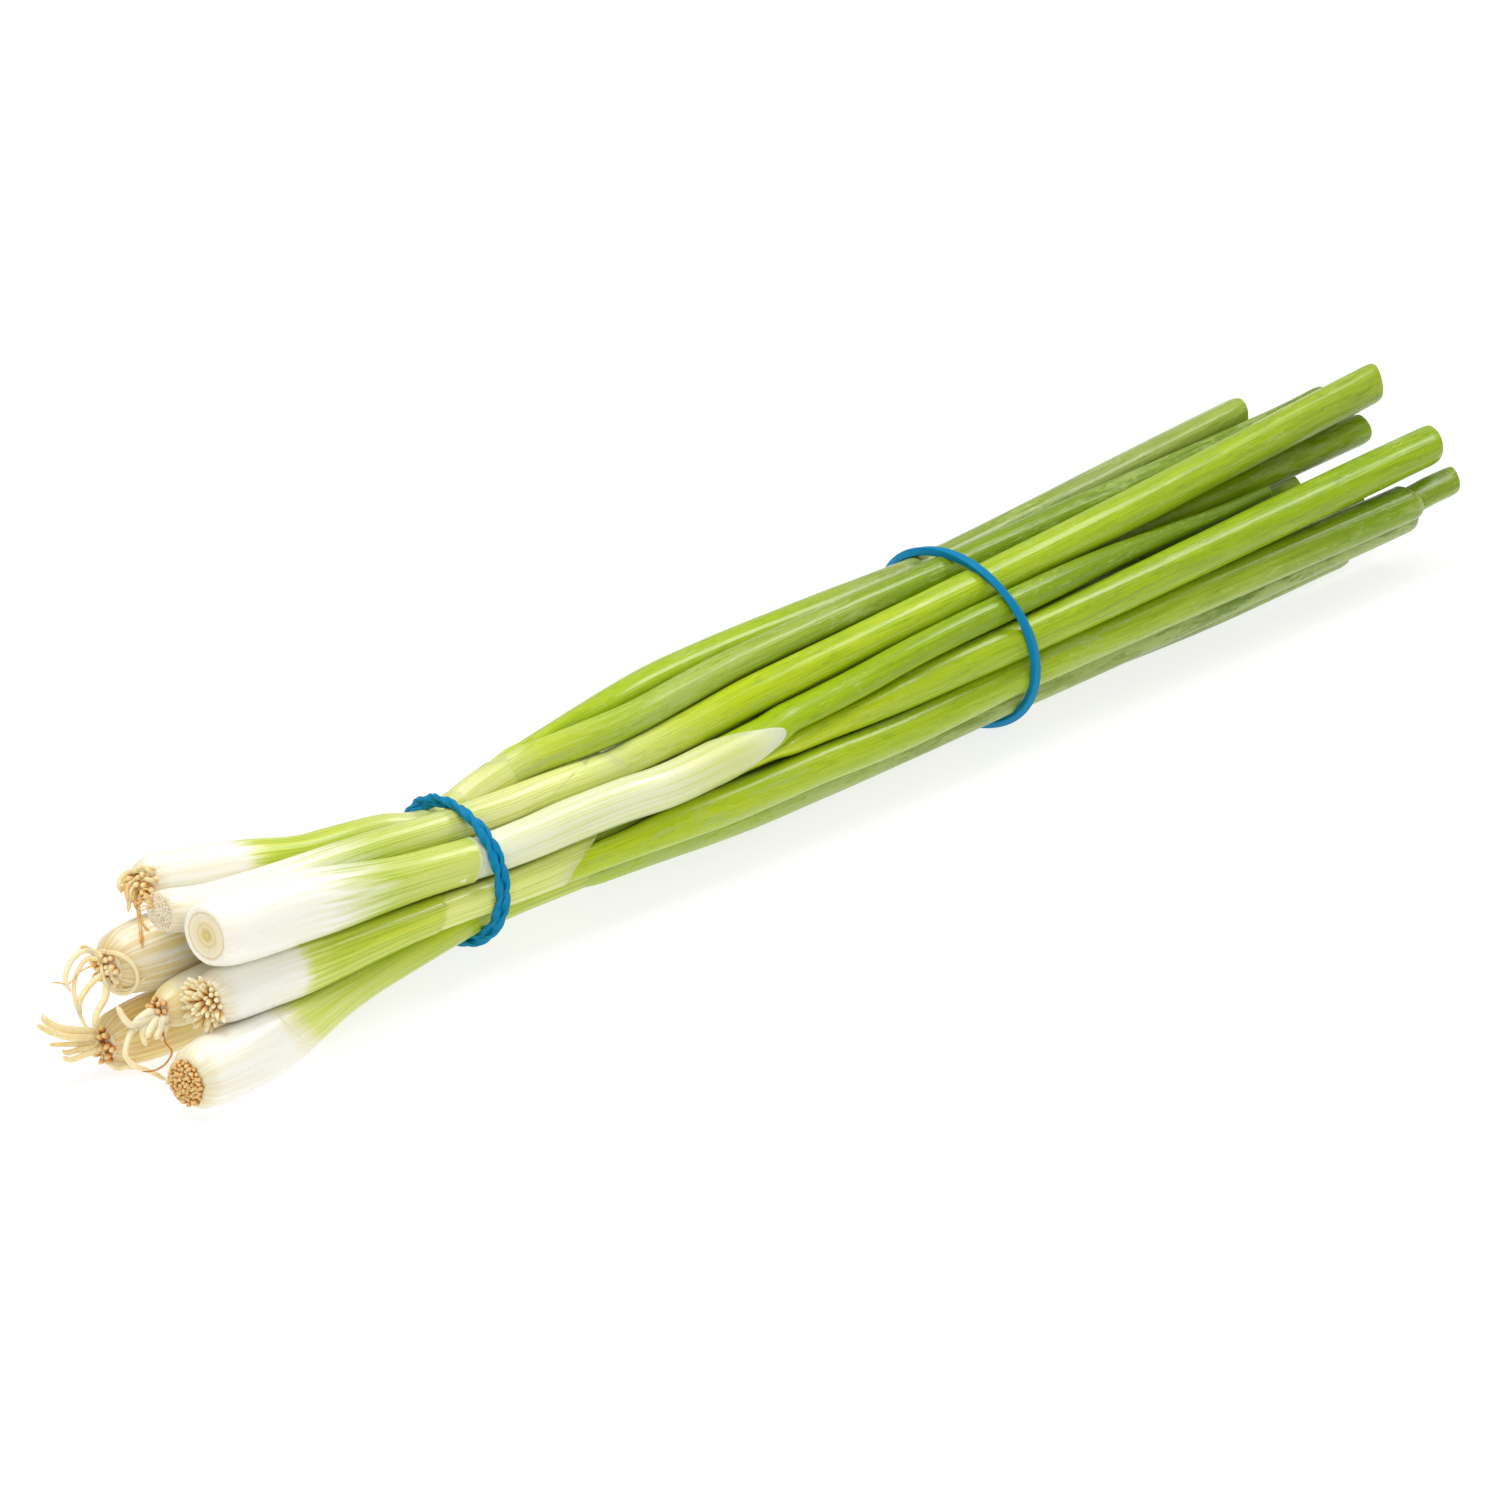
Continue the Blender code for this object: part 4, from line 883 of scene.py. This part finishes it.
def runTree(carrier, tree, values):
    # Puts the tree on an object, sets its inputs by their identifiers, and makes the result a plain mesh
    modifier = carrier.modifiers.new(tree.name, "NODES")
    modifier.node_group = tree
    for item in tree.interface.items_tree:
        if item.item_type == "SOCKET" and item.in_out == "INPUT" and item.name in values:
            modifier[item.identifier] = values[item.name]
    bpy.context.view_layer.update()
    made = bpy.data.meshes.new_from_object(carrier.evaluated_get(bpy.context.evaluated_depsgraph_get()))
    carrier.modifiers.remove(modifier)
    return made


def pathMesh(name, paths, closed=False, attributes=None):
    # Lines of points as a mesh of edges
    points, edges = [], []
    for path in paths:
        first = len(points)
        points.extend(tuple(np.array(point) * mm) for point in path)
        edges.extend((first + k, first + k + 1) for k in range(len(path) - 1))
        if closed:
            edges.append((len(points) - 1, first))
    mesh = bpy.data.meshes.new(name)
    mesh.from_pydata(points, edges, [])
    for label, values in (attributes or {}).items():
        mesh.attributes.new(label, "FLOAT", "POINT").data.foreach_set("value", np.array(values, dtype=float))
    return addObject(name, mesh)


def joinMeshes(name, meshes):
    # Several meshes as one object, with its normals facing out
    joined = bmesh.new()
    for mesh in meshes:
        joined.from_mesh(mesh)
    bmesh.ops.remove_doubles(joined, verts=joined.verts[:], dist=0.000001)
    bmesh.ops.recalc_face_normals(joined, faces=joined.faces[:])
    data = bpy.data.meshes.new(name)
    joined.to_mesh(data)
    joined.free()
    data.shade_smooth()
    return addObject(name, data)


# Roots. Each is (radius in mm, dryness, how far it comes towards the camera, its points in the photograph's 1500 px
# frame). The plate is the radius in mm of what they grow from, and the stubs are what was trimmed short on it.
rootDetail = {"dome": 0.7, "sides": 10, "pointStep": 0.55, "fewestPoints": 14}
rootTufts = {
    "onion_1": {
        "plate": 3.0, "stubs": {"Count": 20, "Length": 1.2, "Width": 0.6, "Spread": 0.7, "Dryness": 0.25},
        "roots": [
            (0.62, 0.3, 0.7, [(153, 868), (142, 870), (129, 872), (121, 879), (120, 887), (122, 893)]),
            (0.6, 0.35, 0.7, [(153, 873), (142, 876), (133, 881), (127, 889), (128, 897), (130, 905)]),
            (0.62, 0.3, 0.7, [(157, 879), (147, 880), (138, 884), (132, 889), (130, 900), (129, 912)]),
            (0.6, 0.25, 0.9, [(145, 878), (152, 880), (159, 883)]),
            (0.55, 0.3, 0.9, [(151, 872), (146, 868), (141, 867)]),
            (0.5, 0.4, 0.6, [(148, 878), (136, 883), (126, 885), (121, 893)]),
            (0.5, 0.4, 0.8, [(150, 885), (141, 887), (134, 894), (133, 903)]),
            (0.34, 0.5, 0.5, [(150, 886), (142, 889), (138, 897), (138, 910), (141, 926), (142, 943)]),
            (0.3, 0.5, 0.6, [(148, 886), (141, 893), (139, 907), (142, 918), (146, 926), (151, 931)]),
            (0.26, 0.6, 0.5, [(147, 887), (140, 899), (141, 925), (144, 936), (144, 948)]),
            (0.42, 0.45, 0.7, [(146, 884), (138, 890), (135, 899), (136, 909)]),
        ],
    },
    "onion_2": {
        "plate": 3.5, "stubs": {"Count": 90, "Length": 0.14, "Width": 0.42, "Spread": 0.2, "Dryness": 0.02},
        "roots": [
            (0.22, 0.45, 0.5, [(150, 897), (143, 893), (138, 896)]),
            (0.2, 0.5, 0.5, [(148, 903), (141, 901), (136, 905)]),
            (0.18, 0.5, 0.4, [(147, 909), (141, 911), (138, 919)]),
            (0.18, 0.5, 0.5, [(150, 900), (144, 898), (139, 900)]),
            (0.22, 0.45, 0.5, [(153, 894), (147, 889), (142, 889)]),
            (0.2, 0.5, 0.5, [(150, 906), (143, 906), (138, 910)]),
        ],
    },
    "onion_4": {
        "plate": 3.7, "stubs": {"Count": 64, "Length": 1.8, "Width": 0.5, "Spread": 1.35, "Dryness": 0.1},
        "roots": [],
    },
    "onion_5": {
        "plate": 4.2, "stubs": {"Count": 110, "Length": 0.7, "Width": 0.46, "Spread": 0.35, "Dryness": 0.46},
        "roots": [],
    },
    "onion_6": {
        "plate": 3.2, "stubs": {"Count": 22, "Length": 1.0, "Width": 0.6, "Spread": 0.7, "Dryness": 0.3},
        "roots": [
            (0.5, 0.15, 0.9, [(108, 953), (120, 954), (132, 962), (138, 974), (136, 986), (128, 993), (117, 993),
                              (108, 986), (103, 974), (102, 962), (106, 954)]),
            (0.36, 0.25, 0.9, [(124, 990), (134, 987), (141, 981), (147, 977)]),
            (0.85, 0.08, 0.9, [(112, 967), (114, 977), (119, 984)]),
            (0.45, 0.3, 0.7, [(108, 962), (95, 954), (84, 946), (80, 947)]),
            (0.68, 0.15, 0.6, [(104, 957), (98, 954), (86, 950), (76, 956), (69, 967), (67, 980), (72, 992)]),
            (0.5, 0.2, 0.5, [(104, 960), (90, 958), (78, 972), (75, 986), (76, 999), (81, 1014), (89, 1030)]),
            (0.7, 0.25, 0.5, [(106, 973), (95, 980), (86, 991), (80, 1004), (82, 1017)]),
            (0.8, 0.2, 0.5, [(108, 980), (106, 996), (98, 1012), (94, 1027)]),
            (0.22, 0.45, 0.6, [(80, 972), (68, 984), (59, 982), (52, 982)]),
        ],
    },
    "onion_7": {
        "plate": 3.0, "stubs": {"Count": 22, "Length": 1.1, "Width": 0.6, "Spread": 0.7, "Dryness": 0.4},
        "roots": [
            (0.95, 0.2, 0.6, [(97, 1033), (74, 1030), (59, 1027), (48, 1021), (43, 1014)]),
            (0.8, 0.2, 0.8, [(95, 1036), (72, 1037), (56, 1033), (39, 1024)]),
            (0.6, 0.25, 0.5, [(95, 1042), (69, 1044), (50, 1044)]),
            (0.7, 0.25, 0.6, [(95, 1046), (77, 1050), (67, 1052), (63, 1050)]),
            (0.75, 0.2, 0.6, [(97, 1049), (82, 1056), (69, 1059), (64, 1056)]),
            (0.58, 0.2, 0.9, [(95, 1037), (102, 1048), (108, 1061), (116, 1068), (127, 1067), (140, 1068),
                              (153, 1073), (167, 1080)]),
            (0.35, 0.6, 0.6, [(98, 1046), (103, 1056), (104, 1063)]),
            (0.5, 0.35, 0.7, [(98, 1038), (88, 1041), (79, 1042)]),
        ],
    },
    "onion_8": {
        "plate": 2.6, "stubs": {"Count": 16, "Length": 0.7, "Width": 0.6, "Spread": 0.8, "Dryness": 0.5},
        "roots": [
            (1.15, 0.04, 0.5, [(145, 1016), (136, 1025), (134, 1033)]),
            (0.8, 0.08, 0.5, [(149, 1020), (143, 1033), (147, 1046)]),
            (0.95, 0.04, 0.7, [(157, 1019), (151, 1028), (147, 1038)]),
            (1.0, 0.04, 0.7, [(165, 1018), (160, 1029), (156, 1039)]),
            (0.6, 0.15, 0.6, [(167, 1022), (165, 1032), (162, 1041)]),
            (0.85, 0.1, 0.6, [(146, 1020), (131, 1024), (122, 1013), (118, 1005)]),
            (0.7, 0.1, 0.5, [(147, 1022), (133, 1030), (128, 1043), (127, 1056), (134, 1064), (147, 1070)]),
            (0.24, 0.75, 0.8, [(163, 1030), (166, 1043), (172, 1051), (168, 1061), (155, 1070), (143, 1071)]),
        ],
    },
}


def cameraAxes():
    a, e = math.radians(cameraView["azimuth"]), math.radians(cameraView["elevation"])
    back = np.array([math.sin(a) * math.cos(e), -math.cos(a) * math.cos(e), math.sin(e)])
    right = np.array([math.cos(a), math.sin(a), 0.0])
    return right, np.cross(back, right), back


def pixelOf(point):
    right, up, back = cameraAxes()
    pull = np.array(point) - (np.array(cameraView["aim"]) + back * cameraView["distance"])
    scale = cameraView["imageWidth"] * cameraView["lens"] / cameraView["sensor"] / -(pull @ back)
    half = cameraView["imageWidth"] / 2
    return np.array([half + scale * (pull @ right), half - scale * (pull @ up)]), scale


def rootRoute(foot, plate, lean, radius, pixels):
    # A root from inside its plate through points of the photograph, kept off the table and out of the bulbs
    right, up, back = cameraAxes()
    footPixel, scale = pixelOf(foot)
    route = []
    for pixel in pixels:
        across, down = (np.array(pixel) - footPixel) / scale
        point = foot + right * across - up * down + back * lean * max(0.0, -across + 0.4 * down)
        for _ in range(40):
            if not insideAnyBulb(point, radius):
                break
            point = point + 0.4 * back
        if point[2] < radius:
            point = point + back * (radius - point[2]) / back[2]
        route.append(point)
    aside = (route[0] - foot)[1:]
    aside *= min(1.0, 0.6 * plate / max(np.linalg.norm(aside), 1e-6))
    route.insert(0, np.array([foot[0] + 0.6, foot[1] + aside[0], foot[2] + aside[1]]))
    route = np.array(route)
    run = distancesAlong(route)
    count = max(rootDetail["fewestPoints"], int(run[-1] / rootDetail["pointStep"]))
    return throughKnots(run, route, np.linspace(0.0, run[-1], count))


def insideAnyBulb(point, radius):
    for table in shankTables.values():
        distance, rows = point[0] - table["start"], table["rows"]
        if distance < -0.5 * radius or distance > 60.0:
            continue
        row = rows[int(np.clip(distance / stemDetail["tableStep"], 0, len(rows) - 1))]
        away = point[1:] - row[:2]
        turn = int(round(math.atan2(away[1], away[0]) / (2 * math.pi) * corners)) % corners
        if np.linalg.norm(away) < row[2 + turn] + 0.8 * radius:
            return True
    return False


def buildRoots(onionName, tuft, trees, finish, seed):
    table = shankTables[onionName]
    foot = np.array([table["start"], *table["rows"][0][:2]])
    carrier = pathMesh(onionName + "_stubs", [[foot, foot + [0.1, 0, 0]]])
    sizes = {"Plate radius": tuft["plate"] * mm, "Dome": rootDetail["dome"] * mm, "Seed": seed, "Material": finish}
    for label, value in tuft["stubs"].items():
        sizes[label] = value * mm if label in ("Length", "Width") else value
    beads = runTree(carrier, trees["stub"], sizes)
    beads.transform(Matrix.Translation(Vector(foot * mm)))
    bpy.data.objects.remove(carrier)
    meshes = [beads]
    paths, thick, dryness = [], [], []
    for radius, dry, lean, pixels in tuft["roots"]:
        path = rootRoute(foot, tuft["plate"], lean, radius, pixels)
        share = np.linspace(0, 1, len(path))
        tip = np.sqrt(np.maximum(0.03, 1 - np.clip((share - 0.88) / 0.12, 0, 1) ** 2))
        paths.append(path)
        thick.extend(radius * mm * (1 - 0.3 * share) * tip)
        dryness.extend(dry + 0.5 * np.exp(-share * 8.0) + 0.15 * share**3)
    if paths:
        carrier = pathMesh(onionName + "_fibres", paths, attributes={"thick": thick, "dryness": dryness})
        fibres = {"Thickness": 1.0, "Sides": rootDetail["sides"], "Material": finish}
        meshes.append(runTree(carrier, trees["fibre"], fibres))
        bpy.data.objects.remove(carrier)
    return joinMeshes(onionName + "_root_tuft", meshes)


trees = {"fibre": fibreTree(), "strip": stripTree(), "stub": stubTree()}
rootFinish = rootFibre()
for seed, (onionName, tuft) in enumerate(rootTufts.items()):
    place(buildRoots(onionName, tuft, trees, rootFinish, seed), onionName + "_roots", "onion_root", rootFinish)
print("made the roots")


# The rubber bands. One is wrapped twice, so two twisted strands lie side by side and cross over twice.
# at: where on x. lean: how far its foot is ahead of its top. crossing: where the strands cross over, in degrees
bandLooks = {
    "band_bulb_end": {"at": -91.28, "lean": 0.0, "strands": 2, "apart": 0.82, "crossing": 60.0, "width": 1.6,
                      "height": 0.95, "turns": 8.0, "rounding": 0.15},
    "band_leaf_end": {"at": 52.22, "lean": 3.6, "strands": 1, "apart": 0.0, "crossing": 0.0, "width": 1.5,
                      "height": 1.7, "turns": 1.0, "rounding": 0.22},
}
leanTowards = math.radians(55.0)


def stemOutlinesAt(x):
    found = []
    for (onionName, part), stem in stems.items():
        if stem["x"][0] <= x <= stem["x"][-1]:
            if part == "bulb_and_shank":
                found.append(skinPoints(shankTables[onionName], x)[:, 1:])
            else:
                found.append(pointsAt(stem, x))
    return np.vstack(found)


def bandRoute(band, clear, points=720):
    # A loop stretched smoothly round the stems
    turn = np.linspace(0, 2 * np.pi, points, endpoint=False)
    x = band["at"] - band["lean"] * np.cos(turn - leanTowards)
    first = stemOutlinesAt(band["at"])
    middle = (first.max(axis=0) + first.min(axis=0)) / 2
    tight = np.zeros(points)
    for nearest in np.unique(np.round(x * 2) / 2):
        reach = reachOf(stemOutlinesAt(nearest), middle)
        here = np.round(x * 2) / 2 == nearest
        tight[here] = np.interp(turn[here], np.append(turnOf, 2 * np.pi), np.append(reach, reach[0]))
    spread = np.exp(-(np.fft.fftfreq(points) * points * math.radians(8.0)) ** 2 / 2)
    loop = tight
    for _ in range(16):
        loop = np.maximum(np.fft.ifft(np.fft.fft(loop) * spread).real, tight)
    loop = np.fft.ifft(np.fft.fft(loop) * spread).real + clear
    route = np.stack([x, middle[0] + loop * np.cos(turn), middle[1] + loop * np.sin(turn)], axis=1)
    looped = np.vstack([route, route[:1]])
    run = distancesAlong(looped)
    even = np.linspace(0, run[-1], points // 2, endpoint=False)
    return np.stack([np.interp(even, run, looped[:, axis]) for axis in range(3)], axis=1)


def buildBand(name, band, tree, finish):
    meshes = []
    route = bandRoute(band, band["height"] / 2 - 0.1)
    run = np.roll(route, -1, axis=0) - np.roll(route, 1, axis=0)
    out = np.stack([np.zeros(len(route)), run[:, 2], -run[:, 1]], axis=1)
    out /= np.linalg.norm(out, axis=1)[:, None]
    turn = np.linspace(0, 2 * np.pi, len(route), endpoint=False) - math.radians(band["crossing"]) + np.pi / 2
    for strand in range(band["strands"]):
        phase = turn + np.pi * strand
        path = route + band["apart"] * np.cos(phase)[:, None] * np.array([1.0, 0.0, 0.0])
        path = path + 1.5 * band["apart"] * (0.5 + 0.5 * np.sin(phase))[:, None] ** 3 * out
        carrier = pathMesh(name + "_path", [path], True)
        meshes.append(runTree(carrier, tree, {
            "Width": band["width"] * mm, "Height": band["height"] * mm, "Turns": band["turns"],
            "Rounding": band["rounding"] * mm, "Material": finish,
        }))
        bpy.data.objects.remove(carrier)
    made = joinMeshes(name + "_rubber", meshes)
    for vertex in made.data.vertices:
        vertex.co.z = max(vertex.co.z, stemDetail["tableGap"] * mm)
    return made


rubber = blueRubber()
for name, band in bandLooks.items():
    place(buildBand(name, band, trees["strip"], rubber), name, "blue_rubber", rubber)
print("made the bands")


# Table, light and camera

def plainFloor():
    # Matte white board, lit a little from below so that shadows on it stay faint
    material, tree = newFinish("matteWhiteBoard")
    spot = addNode(tree, "TexCoord").node.outputs["Object"]
    grain = addNode(tree, "TexNoise", {"Vector": spot, "Scale": 900.0, "Detail": 2.0})
    colour = addNode(tree, "Mix",
                     {"Factor": grain, "A": linearColour("#8e8e8c"), "B": linearColour("#949492")}, data_type="RGBA")
    finishShader(tree, {"Base Color": colour, "Roughness": 0.9, "Specular IOR Level": 0.2,
                        "Emission Color": (1.0, 1.0, 1.0, 1.0), "Emission Strength": 0.78})
    bpy.ops.mesh.primitive_plane_add(size=12.0)
    floor = bpy.context.object
    floor.name = "whiteTable"
    floor.data.materials.append(material)


# Soft boxes as (place in m, width and height in m, watts), all aimed at the middle of the table
lights = {
    "keyBox": ((-0.25, 0.2, 1.15), (0.7, 0.5), 8.5),
    "leafBox": ((0.95, -0.15, 1.0), (0.45, 0.3), 4.5),
    "fillBox": ((-0.9, -1.0, 0.7), (1.2, 0.8), 4.0),
}
skyStrength = 0.48


def softLight(name, spot, size, power):
    light = bpy.data.lights.new(name, "AREA")
    light.shape = "RECTANGLE"
    light.size, light.size_y = size
    light.energy = power
    made = addObject(name, light)
    made.location = spot
    made.rotation_euler = (-Vector(spot)).to_track_quat("-Z", "Y").to_euler()


def photoCamera():
    right, up, back = cameraAxes()
    data = bpy.data.cameras.new("photoCamera")
    data.lens = cameraView["lens"]
    data.sensor_width = cameraView["sensor"]
    data.clip_start, data.clip_end = 0.1, 30.0
    made = addObject("photoCamera", data)
    spot = (np.array(cameraView["aim"]) + back * cameraView["distance"]) * mm
    made.matrix_world = Matrix([[right[k], up[k], back[k], spot[k]] for k in range(3)] + [[0, 0, 0, 1]])
    bpy.context.scene.camera = made


plainFloor()
for name, (spot, size, power) in lights.items():
    softLight(name, spot, size, power)
world = bpy.data.worlds.new("whiteStudio")
world.use_nodes = True
sky = world.node_tree.nodes["Background"].inputs
sky["Color"].default_value = (1.0, 1.0, 1.0, 1.0)
sky["Strength"].default_value = skyStrength
bpy.context.scene.world = world
bpy.context.scene.view_settings.view_transform = "Standard"
photoCamera()
print("set the table, the light and the camera")
